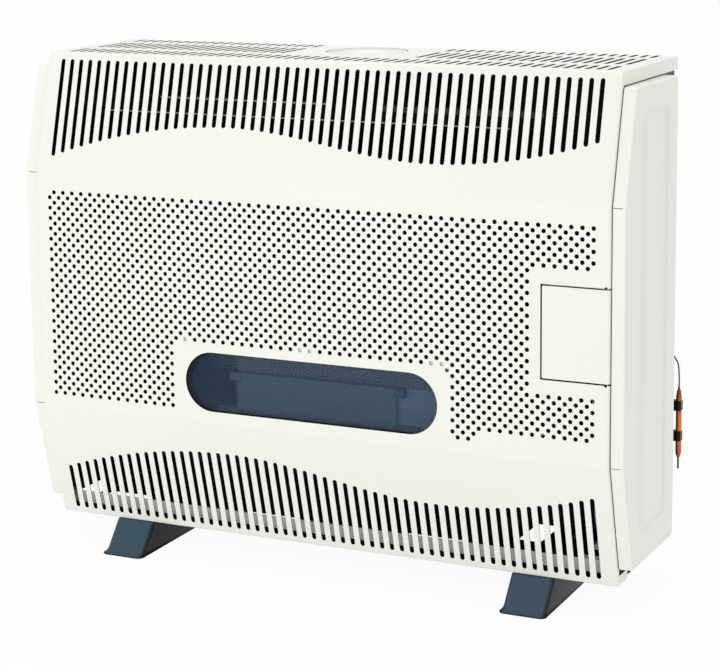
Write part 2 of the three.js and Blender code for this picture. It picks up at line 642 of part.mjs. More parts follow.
function makeFrontCasing() {
  const sheet = prismX(sheetOutline(casingPath(), SHEET, BEND_RADIUS), [-HALF_WIDTH, HALF_WIDTH]);
  const side = casingSide();
  const casing = joined(sheet, side, mirroredX(side));
  const throughFacets = [FRONT - CUT_MARGIN, FACET_EDGE_Y + CUT_MARGIN];
  const throughTop = [CASING_TOP - SHEET - CUT_MARGIN, CASING_TOP + CUT_MARGIN];
  const tools = [];
  for (const x of slotColumns()) {
    const upperEnds = [[x, waveHeight(x, UPPER_WAVE)], [x, CASING_TOP - SLOT_END_MARGIN]];
    const lowerEnds = [[x, CASING_BOTTOM + SLOT_END_MARGIN], [x, waveHeight(x, LOWER_WAVE)]];
    for (const [low, high] of [upperEnds, lowerEnds]) {
      tools.push(prismY(slotOutline(low, high, SLOT_WIDTH), throughFacets));
    }
    for (const row of topRows()) {
      if (Math.abs(x) < row.clear) continue;
      tools.push(prismZ(slotOutline([x, row.front], [x, row.rear], SLOT_WIDTH), throughTop));
    }
  }
  const halfStraight = WINDOW_WIDTH / 2;
  tools.push(prismY(slotOutline([-halfStraight, WINDOW_CENTRE_Z], [halfStraight, WINDOW_CENTRE_Z],
    WINDOW_HEIGHT, WINDOW_END_STEPS), [FRONT - CUT_MARGIN, FRONT + CUT_MARGIN]));
  tools.push(cylinder('z', [0, FLUE_Y], FLUE_OPENING_RADIUS, throughTop, ROUND));
  tools.push(block([FLAP_LEFT_X, HALF_WIDTH + CUT_MARGIN],
    [FRONT - CUT_MARGIN, FRONT + SIDE_RETURN_DEPTH + CUT_MARGIN], [FLAP_BOTTOM_Z, FLAP_TOP_Z]));
  for (const x of casingScrewPlaces()) {
    tools.push(cylinder('z', [x, casingScrewY()], SCREW_RADIUS + SCREW_HOLE_CLEARANCE,
      [CASING_BOTTOM - CUT_MARGIN, CASING_BOTTOM + SHEET + CUT_MARGIN]));
  }
  addPiece('front_casing', casing.subtract(joined(...tools)), cream);
}

function casingScrewPlaces() {
  return [-CASING_SCREW_X, CASING_SCREW_X];
}

function casingScrewY() {
  return FACET_EDGE_Y + BOTTOM_RETURN_DEPTH * CASING_SCREW_SHARE;
}

// ---------------------------------------------------------------- side trays

function trayOutline(inset) {
  const top = CASING_TOP - SKIRT_HEIGHT - TRAY_TOP_GAP - inset;
  const bottom = TRAY_BOTTOM_Z + inset;
  const rear = FRONT + TRAY_DEPTH - inset;
  const line = facetLine(TRAY_STRIP_SETBACK + inset);
  const atHeight = (z, [y0, z0], [y1, z1]) => y0 + ((z - z0) / (z1 - z0)) * (y1 - y0);
  return [
    [rear, bottom],
    [atHeight(bottom, line[0], line[1]), bottom],
    line[1],
    line[2],
    [atHeight(top, line[2], line[3]), top],
    [rear, top],
  ];
}

/** The right tray: a pan with its floor outwards, flanges inwards to the side frame. */
function traySolid() {
  const outer = HALF_WIDTH + TRAY_STANDOFF;
  const stripInner = HALF_WIDTH + TRAY_SLIT;
  const flangeInner = FRAME_OUT + SEAT_GAP;
  const body = prismX(trayOutline(0), [flangeInner, outer]);
  const hollow = prismX(trayOutline(SHEET), [flangeInner - CUT_MARGIN, outer - SHEET]);
  const besideCasing = block([flangeInner - CUT_MARGIN, stripInner],
    [FRONT - CUT_MARGIN, FRAME_FRONT_Y + SIDE_RETURN_DEPTH], [0, CASING_TOP]);
  const [y0, y1] = [FRONT + TRAY_FIELD_FRONT, FRONT + TRAY_FIELD_REAR];
  const z0 = TRAY_BOTTOM_Z + TRAY_FIELD_BORDER_LOW;
  const z1 = CASING_TOP - SKIRT_HEIGHT - TRAY_FIELD_BORDER_HIGH;
  const dishBack = prismX(roundedRectangle([y0 - SHEET, y1 + SHEET], [z0 - SHEET, z1 + SHEET],
    TRAY_FIELD_RADIUS + SHEET), [outer - TRAY_FIELD_DEPTH - SHEET, outer]);
  const dishFront = prismX(roundedRectangle([y0, y1], [z0, z1], TRAY_FIELD_RADIUS),
    [outer - TRAY_FIELD_DEPTH, outer + CUT_MARGIN]);
  return cut(body, hollow, besideCasing).add(dishBack).subtract(dishFront);
}

function makeSideTrays() {
  const right = traySolid();
  addPiece('side_tray_right', right, cream);
  addPiece('side_tray_left', mirroredX(right), cream);
}

// ---------------------------------------------------------------- control flap

function makeControlFlap() {
  const left = FLAP_LEFT_X + FLAP_SLIT;
  const low = FLAP_BOTTOM_Z + FLAP_SLIT;
  const high = FLAP_TOP_Z - FLAP_SLIT;
  const bend = [[left, FRONT], [HALF_WIDTH, FRONT], [HALF_WIDTH, FRONT + SIDE_RETURN_DEPTH]];
  const plate = prismZ(sheetOutline(bend, -SHEET, BEND_RADIUS), [low, high]);
  const earPlan = roundedRectangle([HALF_WIDTH - HINGE_EAR_WIDTH, HALF_WIDTH - SHEET / 2],
    [FRONT + SHEET / 2, FRONT + HINGE_EAR_DEPTH], 1, 2);
  const ears = joined(prismZ(earPlan, [low, low + SHEET]), prismZ(earPlan, [high - SHEET, high]));
  const pinHole = cylinder('z', [HINGE_X, HINGE_Y], HINGE_PIN_RADIUS + RUNNING_GAP,
    [low - CUT_MARGIN, high + CUT_MARGIN]);
  addPiece('control_flap', joined(plate, ears).subtract(pinHole), cream);
}

/** A hinge bracket behind the casing's face above or below the flap, with its pin into the flap's ear. */
function hingeSolid(edge, direction) {
  const backFace = PANEL_BACK_Y + SEAT_GAP;
  const inside = HALF_WIDTH - SHEET - SEAT_GAP;
  const span = (near, far) => [edge + direction * near, edge + direction * far].sort((a, b) => a - b);
  const shelfTop = HINGE_SHELF_GAP + HINGE_SHELF_HEIGHT;
  const leaf = span(shelfTop, shelfTop + HINGE_LEAF_HEIGHT);
  const shelf = span(HINGE_SHELF_GAP, shelfTop);
  const pin = span(-FLAP_SLIT - SHEET - HINGE_PIN_REACH, shelfTop);
  return joined(
    block([inside - HINGE_EAR_WIDTH, inside], [backFace, backFace + SHEET], leaf),
    block([inside - HINGE_EAR_WIDTH, inside], [backFace, backFace + HINGE_EAR_DEPTH - SHEET], shelf),
    cylinder('z', [HINGE_X, HINGE_Y], HINGE_PIN_RADIUS, pin));
}

function makeFlapHardware() {
  addPiece('flap_hinge_upper', hingeSolid(FLAP_TOP_Z, 1), zincSteel);
  addPiece('flap_hinge_lower', hingeSolid(FLAP_BOTTOM_Z, -1), zincSteel);
  const middle = (FLAP_TOP_Z + FLAP_BOTTOM_Z) / 2;
  const backFace = PANEL_BACK_Y + SEAT_GAP;
  const height = [middle - CATCH_WIDTH, middle + CATCH_WIDTH];
  addPiece('flap_catch', joined(
    block([FLAP_LEFT_X - CATCH_WIDTH, FLAP_LEFT_X], [backFace, backFace + CATCH_DEPTH], height),
    block([FLAP_LEFT_X, FLAP_LEFT_X + CATCH_TONGUE],
      [backFace, backFace + CATCH_TONGUE_DEPTH], height)), blackPlastic);
}

// ---------------------------------------------------------------- viewing window

function makeViewingWindow() {
  const low = WINDOW_BOTTOM_Z - PANE_OVERLAP;
  const high = WINDOW_TOP_Z + PANE_OVERLAP;
  addPiece('viewing_glass', block([-OUTER_PANE_HALF_WIDTH, OUTER_PANE_HALF_WIDTH],
    [OUTER_PANE_FRONT_Y, OUTER_PANE_REAR_Y], [low, high]), smokedGlass);
  const clipRear = OUTER_PANE_REAR_Y + SEAT_GAP + CLIP_SHEET;
  const clip = [[OUTER_PANE_FRONT_Y, high + SEAT_GAP], [OUTER_PANE_FRONT_Y, high + PANE_CLIP_HEIGHT],
    [clipRear, high + PANE_CLIP_HEIGHT], [clipRear, high - PANE_CLIP_BITE],
    [clipRear - CLIP_SHEET, high - PANE_CLIP_BITE], [clipRear - CLIP_SHEET, high + SEAT_GAP]];
  for (const [name, { x, width }] of Object.entries(PANE_CLIPS)) {
    addPiece(`viewing_glass_clip_${name}`, prismX(clip, [x - width / 2, x + width / 2]), zincSteel);
  }
  const rail = [[OUTER_PANE_FRONT_Y, low - SEAT_GAP], [OUTER_PANE_FRONT_Y, low - PANE_RAIL_HEIGHT],
    [clipRear, low - PANE_RAIL_HEIGHT], [clipRear, low + PANE_CLIP_BITE],
    [clipRear - CLIP_SHEET, low + PANE_CLIP_BITE], [clipRear - CLIP_SHEET, low - SEAT_GAP]];
  addPiece('viewing_glass_rail', prismX(rail, [-OUTER_PANE_HALF_WIDTH, OUTER_PANE_HALF_WIDTH]), zincSteel);
}

// ---------------------------------------------------------------- inner frame

function footScrewPlaces() {
  const rear = FRAME_REAR_Y - FOOT_REAR_INSET - FOOT_REAR_REACH - FOOT_SCREW_REAR_INSET;
  const front = FACET_EDGE_Y + BOTTOM_RETURN_DEPTH + FOOT_SCREW_INSET;
  return { front, rear };
}

function baseOpeningRows() {
  const front = FRONT + BASE_OPENING_FRONT;
  const rear = BACK - BASE_OPENING_REAR;
  return [[front, front + BASE_OPENING_DEPTH], [rear - BASE_OPENING_DEPTH, rear]];
}

function makeBasePan() {
  const pan = block([-FRAME_OUT, FRAME_OUT], [FRAME_FRONT_Y, BACK_PANEL_REAR_Y], [BASE_BOTTOM, BASE_TOP]);
  const lip = block([-INSIDE_X, INSIDE_X], [FRAME_FRONT_Y, FRAME_FRONT_Y + SHEET],
    [BASE_BOTTOM, BASE_BOTTOM + BASE_LIP_HEIGHT]);
  const through = [BASE_BOTTOM - CUT_MARGIN, BASE_TOP + CUT_MARGIN];
  const tools = [];
  for (const { x, width } of [BASE_OPENING_MIDDLE, BASE_OPENING_INNER, BASE_OPENING_OUTER]) {
    for (const middle of [-x, x]) {
      for (const span of baseOpeningRows()) {
        tools.push(block([middle - width / 2, middle + width / 2], span, through));
      }
    }
  }
  const screws = footScrewPlaces();
  for (const x of [-FOOT_CENTRE_X, FOOT_CENTRE_X]) {
    for (const y of [screws.front, screws.rear]) {
      tools.push(cylinder('z', [x, y], SCREW_RADIUS + SCREW_HOLE_CLEARANCE, through));
    }
  }
  for (const x of casingScrewPlaces()) {
    tools.push(cylinder('z', [x, casingScrewY()], SCREW_RADIUS + SCREW_HOLE_CLEARANCE, through));
  }
  addPiece('base_pan', cut(joined(pan, lip), ...tools), cream);
}

function makeSideFrames() {
  const wall = block([FRAME_IN, FRAME_OUT], [FRAME_FRONT_Y, FRAME_REAR_Y], [FRAME_BOTTOM, FRAME_TOP]);
  const through = [FRAME_IN - CUT_MARGIN, FRAME_OUT + CUT_MARGIN];
  const entry = cylinder('x', [BULB_Y, CAPILLARY_ENTRY_Z], CAPILLARY_HOLE_RADIUS, through);
  const openings = baseOpeningRows().map((span) =>
    block(through, span, [FRAME_BOTTOM - CUT_MARGIN, FRAME_OPENING_TOP_Z]));
  const frame = cut(wall, ...openings);
  addPiece('side_frame_right', frame.subtract(entry), slate);
  addPiece('side_frame_left', mirroredX(frame), slate);
}

function makeBackPanel() {
  const span = [BACK_PANEL_FRONT_Y, BACK_PANEL_REAR_Y];
  const through = [BACK_PANEL_FRONT_Y - CUT_MARGIN, BACK_PANEL_REAR_Y + CUT_MARGIN];
  const panel = block([-FRAME_OUT, FRAME_OUT], span, [FRAME_BOTTOM, FRAME_TOP - BEND_RADIUS]);
  const notch = FLUE_SPIGOT_RADIUS + FLUE_HOLE_CLEARANCE; // half its width, open at the top
  const tools = [
    block([-notch, notch], through, [FLUE_SPIGOT_Z - notch, FRAME_TOP]),
    cylinder('y', [KNOB_X, INLET_Z], INLET_UNION_RADIUS + INLET_HOLE_CLEARANCE, through),
  ];
  for (const x of [-KEYHOLE_SPACING / 2, KEYHOLE_SPACING / 2]) {
    tools.push(cylinder('y', [x, KEYHOLE_Z], KEYHOLE_HEAD_RADIUS, through));
    const slotTop = [x, KEYHOLE_Z + KEYHOLE_RISE];
    tools.push(prismY(slotOutline([x, KEYHOLE_Z], slotTop, 2 * KEYHOLE_SLOT_RADIUS), through));
  }
  addPiece('back_panel', cut(panel, ...tools), slate);
}

function makeFrontRail() {
  const high = RAIL_LOW_Z + RAIL_HEIGHT;
  const across = [-INSIDE_X, INSIDE_X];
  const rail = joined(
    block(across, [FRAME_FRONT_Y, FRAME_FRONT_Y + SHEET], [RAIL_LOW_Z, high]),
    block(across, [FRAME_FRONT_Y, FRAME_FRONT_Y + RAIL_DEPTH], [high - SHEET, high]));
  addPiece('front_rail', rail, zincSteel);
}

// ---------------------------------------------------------------- feet

/** A lofted solid between two plan outlines with the same number of points. */
function loft(lowPlan, lowZ, highPlan, highZ) {
  const count = lowPlan.length;
  const positions = [];
  for (const [plan, z] of [[lowPlan, lowZ], [highPlan, highZ]]) {
    for (const [x, y] of plan) positions.push(x, y, z);
  }
  const index = [];
  for (let step = 0; step < count; step += 1) {
    const next = (step + 1) % count;
    index.push(step, next, count + next, step, count + next, count + step);
  }
  for (let step = 1; step < count - 1; step += 1) {
    index.push(0, step + 1, step, count, count + step, count + step + 1);
  }
  const geometry = new THREE.BufferGeometry();
  geometry.setAttribute('position', new THREE.Float32BufferAttribute(positions, 3));
  geometry.setIndex(index);
  return solidFrom(geometry);
}

/** The foot's tapered body, shrunk on all sides by an inset. */
function footBody(centreX, inset, lowZ, highZ) {
  const half = FOOT_WIDTH / 2 - inset;
  const radius = FOOT_RADIUS - inset;
  const rearTop = FRAME_REAR_Y - FOOT_REAR_INSET - FOOT_REAR_REACH;
  const across = [centreX - half, centreX + half];
  const high = roundedRectangle(across, [FACET_EDGE_Y + inset, rearTop - inset], radius);
  const low = roundedRectangle(across,
    [FACET_EDGE_Y - FOOT_FRONT_REACH + inset, rearTop + FOOT_REAR_REACH - inset], radius);
  return loft(low, lowZ, high, highZ);
}

function footSolid(centreX) {
  const outer = footBody(centreX, 0, 0, FOOT_HEIGHT);
  const inner = footBody(centreX, FOOT_SHEET, -SEAT_GAP, FOOT_HEIGHT - FOOT_SHEET);
  const toeFront = FACET_EDGE_Y - FOOT_FRONT_REACH;
  const toePlan = roundedRectangle([centreX - FOOT_WIDTH / 2, centreX + FOOT_WIDTH / 2],
    [toeFront - FOOT_LIP, toeFront + FOOT_RADIUS * 2], FOOT_RADIUS);
  const toe = prismZ(toePlan, [0, FOOT_SHEET]).subtract(inner);
  const screws = footScrewPlaces();
  const through = [FOOT_HEIGHT - FOOT_SHEET - CUT_MARGIN, FOOT_HEIGHT + CUT_MARGIN];
  const holes = [screws.front, screws.rear].map((y) =>
    cylinder('z', [centreX, y], SCREW_RADIUS + SCREW_HOLE_CLEARANCE, through));
  return cut(joined(outer.subtract(inner), toe), ...holes);
}

/** A pan head screw that points up, its head under a face at the given height. */
function screwSolid([x, y], faceZ, tipZ) {
  const headTop = faceZ - SEAT_GAP;
  const head = cylinder('z', [x, y], SCREW_HEAD_RADIUS, [headTop - SCREW_HEAD_HEIGHT, headTop]);
  const shank = cylinder('z', [x, y], SCREW_RADIUS, [headTop - SCREW_HEAD_HEIGHT / 2, tipZ]);
  const halfSlot = SCREW_SLOT_WIDTH / 2;
  const halfLength = SCREW_SLOT_LENGTH / 2;
  const headBottom = headTop - SCREW_HEAD_HEIGHT;
  const recess = block([x - halfLength, x + halfLength], [y - halfSlot, y + halfSlot],
    [headBottom - CUT_MARGIN, headBottom + SCREW_SLOT_WIDTH]);
  return joined(head, shank).subtract(recess);
}

function makeFeet() {
  const screws = footScrewPlaces();
  const tip = BASE_TOP + SCREW_END;
  for (const [side, x] of [['left', -FOOT_CENTRE_X], ['right', FOOT_CENTRE_X]]) {
    addPiece(`foot_${side}`, footSolid(x), slate);
    const face = FOOT_HEIGHT - FOOT_SHEET;
    addPiece(`foot_screw_${side}_front`, screwSolid([x, screws.front], face, tip), zincSteel);
    addPiece(`foot_screw_${side}_rear`, screwSolid([x, screws.rear], face, tip), zincSteel);
  }
  casingScrewPlaces().forEach((x, index) => {
    const name = `casing_screw_${['left', 'right'][index]}`;
    addPiece(name, screwSolid([x, casingScrewY()], CASING_BOTTOM, tip), zincSteel);
  });
}

// ---------------------------------------------------------------- flue

function makeFlue() {
  const top = CASING_TOP;
  const radius = FLUE_DISH_RADIUS;
  const bowl = FLUE_BOWL.map(([r, depth]) => [radius * r, top - FLUE_DISH_DEPTH * depth]);
  const under = bowl.map(([r, z]) => [r, z - SHEET]).reverse();
  const profile = [
    ...bowl,
    [radius - FLUE_RIM_LAND, top],
    [radius, top],
    [radius, top - FLUE_DISH_SKIRT],
    [radius - SHEET, top - FLUE_DISH_SKIRT],
    [radius - SHEET, top - SHEET - FLUE_RIM_LAND],
    ...under,
  ];
  addPiece('flue_cap', turned(profile, [0, FLUE_Y]), cream);

  const half = FLUE_BOX_WIDTH / 2;
  const outer = block([-half, half], [FLUE_BOX_FRONT_Y, FLUE_BOX_REAR_Y],
    [FLUE_BOX_BOTTOM, FLUE_BOX_TOP - SHEET]);
  const hollow = block([-half + SHEET, half - SHEET], [FLUE_BOX_FRONT_Y + SHEET, FLUE_BOX_REAR_Y - SHEET],
    [FLUE_BOX_BOTTOM + SHEET, FLUE_BOX_TOP - 2 * SHEET]);
  const collar = cylinder('z', [0, FLUE_Y], FLUE_COLLAR_RADIUS,
    [FLUE_BOX_TOP - 2 * SHEET, FLUE_COLLAR_TOP], ROUND);
  const collarBore = cylinder('z', [0, FLUE_Y], FLUE_COLLAR_RADIUS - SHEET,
    [FLUE_BOX_TOP - 2 * SHEET - CUT_MARGIN, FLUE_COLLAR_TOP + CUT_MARGIN], ROUND);
  const rearHole = cylinder('y', [0, FLUE_SPIGOT_Z], FLUE_SPIGOT_RADIUS - FLUE_SPIGOT_WALL,
    [FLUE_BOX_REAR_Y - SHEET - CUT_MARGIN, FLUE_BOX_REAR_Y + CUT_MARGIN], ROUND);
  const floorHole = cylinder('z', [0, flueInletY()], FLUE_INLET_RADIUS,
    [FLUE_BOX_BOTTOM - CUT_MARGIN, FLUE_BOX_BOTTOM + SHEET + CUT_MARGIN], ROUND);
  const sill = FLUE_BOX_BOTTOM + DRAUGHT_OPENING_SILL;
  const draught = block([-DRAUGHT_OPENING_WIDTH / 2, DRAUGHT_OPENING_WIDTH / 2],
    [FLUE_BOX_FRONT_Y - CUT_MARGIN, FLUE_BOX_FRONT_Y + SHEET + CUT_MARGIN],
    [sill, sill + DRAUGHT_OPENING_HEIGHT]);
  const shell = joined(outer.subtract(hollow), collar);
  addPiece('flue_box', cut(shell, collarBore, rearHole, floorHole, draught), zincSteel);

  const spigotFront = FLUE_BOX_REAR_Y + SEAT_GAP;
  const axis = [0, FLUE_SPIGOT_Z];
  const boreRadius = FLUE_SPIGOT_RADIUS - FLUE_SPIGOT_WALL;
  const spigot = ring('y', axis, FLUE_SPIGOT_RADIUS, boreRadius, [spigotFront, BACK], ROUND);
  const flange = ring('y', axis, FLUE_SPIGOT_RADIUS + 3 * SHEET, boreRadius,
    [spigotFront, spigotFront + SHEET], ROUND);
  addPiece('flue_spigot', joined(spigot, flange), zincSteel);
}

function flueInletY() {
  return Math.min(FLUE_Y, CHAMBER_REAR_Y - FLUE_INLET_RADIUS - 2 * CHAMBER_WALL);
}

// ---------------------------------------------------------------- combustion chamber

function laneHoles() {
  return [[THERMOCOUPLE_LANE_Y, LANE_Z], [PILOT_LANE_Y, LANE_Z], [LEAD_LANE_Y, LANE_Z]];
}

function makeChamber() {
  const side = CHAMBER_SIDE_X;
  const outer = block([-side, side], [CHAMBER_FRONT_Y, CHAMBER_REAR_Y], [CHAMBER_BOTTOM_Z, CHAMBER_TOP_Z]);
  const hollow = block([-side + CHAMBER_WALL, side - CHAMBER_WALL],
    [CHAMBER_FRONT_Y - CUT_MARGIN, CHAMBER_REAR_Y - CHAMBER_WALL],
    [CHAMBER_BOTTOM_Z + CHAMBER_WALL, CHAMBER_TOP_Z - CHAMBER_WALL]);
  const outlet = cylinder('z', [0, flueInletY()], FLUE_INLET_RADIUS,
    [CHAMBER_TOP_Z - CHAMBER_WALL - CUT_MARGIN, CHAMBER_TOP_Z + CUT_MARGIN], ROUND);
  const wallSpan = [side - CHAMBER_WALL - CUT_MARGIN, side + CUT_MARGIN];
  const tools = [hollow, outlet, cylinder('x', [BURNER_Y, BURNER_Z], INJECTOR_NOSE_RADIUS + 2, wallSpan)];
  for (const lane of laneHoles()) tools.push(cylinder('x', lane, LANE_HOLE_RADIUS, wallSpan));
  const airFront = BURNER_Y + CHAMBER_AIR_SETBACK;
  for (const column of CHAMBER_AIR_COLUMNS) {
    const x = column * (CHAMBER_AIR_WIDTH + CHAMBER_AIR_SPACING);
    tools.push(block([x - CHAMBER_AIR_WIDTH / 2, x + CHAMBER_AIR_WIDTH / 2],
      [airFront, airFront + CHAMBER_AIR_DEPTH],
      [CHAMBER_BOTTOM_Z - CUT_MARGIN, CHAMBER_BOTTOM_Z + CHAMBER_WALL + CUT_MARGIN]));
  }
  const apronFront = CHAMBER_FRONT_Y + CHAMBER_APRON_BACK;
  const apron = block([-side, side], [apronFront, apronFront + CHAMBER_WALL],
    [CHAMBER_APRON_Z, CHAMBER_BOTTOM_Z + CHAMBER_WALL]);
  addPiece('combustion_chamber', cut(outer, ...tools).add(apron), darkSteel);

  const plate = block([-side - CHAMBER_FLANGE, side + CHAMBER_FLANGE],
    [CHAMBER_PLATE_FRONT_Y, CHAMBER_PLATE_REAR_Y],
    [CHAMBER_BOTTOM_Z - CHAMBER_FLANGE, CHAMBER_TOP_Z - CHAMBER_FLANGE]);
  const half = INNER_PANE_WIDTH / 2;
  const aperture = (front, rear) => block(
    [-half + INNER_APERTURE_BORDER, half - INNER_APERTURE_BORDER], [front - CUT_MARGIN, rear + CUT_MARGIN],
    [INNER_PANE_BOTTOM_Z + INNER_APERTURE_BORDER, INNER_PANE_TOP_Z - INNER_APERTURE_BORDER]);
  addPiece('chamber_front', plate.subtract(aperture(CHAMBER_PLATE_FRONT_Y, CHAMBER_PLATE_REAR_Y)), slate);

  const gasketRear = CHAMBER_PLATE_FRONT_Y - SEAT_GAP;
  const gasket = block([-half, half], [gasketRear - GASKET_THICKNESS, gasketRear],
    [INNER_PANE_BOTTOM_Z, INNER_PANE_TOP_Z]);
  addPiece('chamber_gasket', gasket.subtract(aperture(gasketRear - GASKET_THICKNESS, gasketRear)), fibre);
  addPiece('chamber_glass', block([-half, half], [INNER_PANE_FRONT_Y, INNER_PANE_REAR_Y],
    [INNER_PANE_BOTTOM_Z, INNER_PANE_TOP_Z]), smokedGlass);
  makeChamberGlassClips(half);
}

/** Four clips at the pane's corners, each a block beside the pane with a tongue over its front. */
function makeChamberGlassClips(half) {
  const rear = CHAMBER_PLATE_FRONT_Y - SEAT_GAP;
  const front = INNER_PANE_FRONT_Y - SEAT_GAP - CLIP_SHEET;
  for (const [level, width] of [['lower', LOWER_CLIP_WIDTH], ['upper', UPPER_CLIP_WIDTH]]) {
    const edge = level === 'lower'
      ? [INNER_PANE_BOTTOM_Z - CLIP_HEIGHT / 2, INNER_PANE_BOTTOM_Z + CLIP_BITE]
      : [INNER_PANE_TOP_Z - CLIP_HEIGHT + CLIP_BITE, INNER_PANE_TOP_Z];
    const right = joined(
      block([half + SEAT_GAP, half + width], [front, rear], edge),
      block([half - CLIP_BITE, half + SEAT_GAP + CLIP_SHEET], [front, front + CLIP_SHEET], edge));
    addPiece(`chamber_glass_clip_${level}_right`, right, zincSteel);
    addPiece(`chamber_glass_clip_${level}_left`, mirroredX(right), zincSteel);
  }
}

function makeChamberSupports() {
  const low = BASE_TOP + SEAT_GAP;
  const high = CHAMBER_BOTTOM_Z - SEAT_GAP;
  const outerX = CHAMBER_SIDE_X - LEG_INSET;
  const channel = [[outerX - LEG_WIDTH, low], [outerX, low], [outerX, high], [outerX - LEG_WIDTH, high],
    [outerX - LEG_WIDTH, high - CHAMBER_WALL], [outerX - CHAMBER_WALL, high - CHAMBER_WALL],
    [outerX - CHAMBER_WALL, low + CHAMBER_WALL], [outerX - LEG_WIDTH, low + CHAMBER_WALL]];
  const right = prismY(channel, [CHAMBER_FRONT_Y + CHAMBER_FLANGE + FRAME_SETBACK * 3, CHAMBER_REAR_Y]);
  addPiece('chamber_leg_right', right, zincSteel);
  addPiece('chamber_leg_left', mirroredX(right), zincSteel);

  const front = CHAMBER_REAR_Y + SHIELD_GAP - SHEET;
  const shield = [[FRAME_REAR_Y, CHAMBER_TOP_Z - CHAMBER_FLANGE], [front, CHAMBER_TOP_Z - CHAMBER_FLANGE],
    [front, CHAMBER_BOTTOM_Z], [FRAME_REAR_Y, CHAMBER_BOTTOM_Z]];
  const shieldSheet = sheetOutline(shield, -SHEET, SHEET * 2);
  addPiece('heat_shield', prismX(shieldSheet, [-CHAMBER_SIDE_X, CHAMBER_SIDE_X]), zincSteel);
}

// ---------------------------------------------------------------- burner and pilot

function makeBurner() {
  const reach = CHAMBER_SIDE_X - CHAMBER_WALL - SEAT_GAP;
  const body = ring('x', [BURNER_Y, BURNER_Z], BURNER_RADIUS, BURNER_RADIUS - BURNER_WALL, [-reach, reach]);
  const tools = [];
  for (let port = 0; port < PORT_COUNT; port += 1) {
    const x = (port - (PORT_COUNT - 1) / 2) * PORT_PITCH;
    tools.push(block([x - PORT_WIDTH / 2, x + PORT_WIDTH / 2],
      [BURNER_Y - PORT_LENGTH / 2, BURNER_Y + PORT_LENGTH / 2],
      [BURNER_Z, BURNER_Z + BURNER_RADIUS + CUT_MARGIN]));
  }
  addPiece('burner', cut(body, ...tools), darkSteel);

  const bodyStart = CHAMBER_SIDE_X + SEAT_GAP;
  const axis = [BURNER_Y, BURNER_Z];
  const half = bodyStart + INJECTOR_LENGTH / 2;
  const nozzle = joined(
    cylinder('x', axis, INJECTOR_NUT_RADIUS, [bodyStart, half], HEXAGON),
    cylinder('x', axis, INJECTOR_RADIUS, [bodyStart, bodyStart + INJECTOR_LENGTH]),
    cylinder('x', axis, INJECTOR_NOSE_RADIUS, [bodyStart - INJECTOR_NOSE_LENGTH, half]));
  addPiece('injector', nozzle, brassFinish);

  const pipeStart = bodyStart + INJECTOR_LENGTH + SEAT_GAP;
  const valveY = (VALVE_FRONT_Y + VALVE_REAR_Y) / 2;
  const outletZ = VALVE_BOTTOM_Z + VALVE_HEIGHT / 4;
  addPiece('burner_pipe', tube([
    [pipeStart, BURNER_Y, BURNER_Z],
    [pipeStart + 10, BURNER_Y, BURNER_Z],
    [pipeStart + 26, BURNER_Y - 4, BURNER_Z + 12],
    [pipeStart + 32, BURNER_Y - 16, BURNER_Z + 60],
    [pipeStart + 34, valveY + 8, outletZ - 40],
    [pipeStart + 42, valveY, outletZ - 10],
    [VALVE_LEFT_X - 14, valveY, outletZ],
    [VALVE_LEFT_X - SEAT_GAP, valveY, outletZ],
  ], BURNER_PIPE_RADIUS), alloy);
}

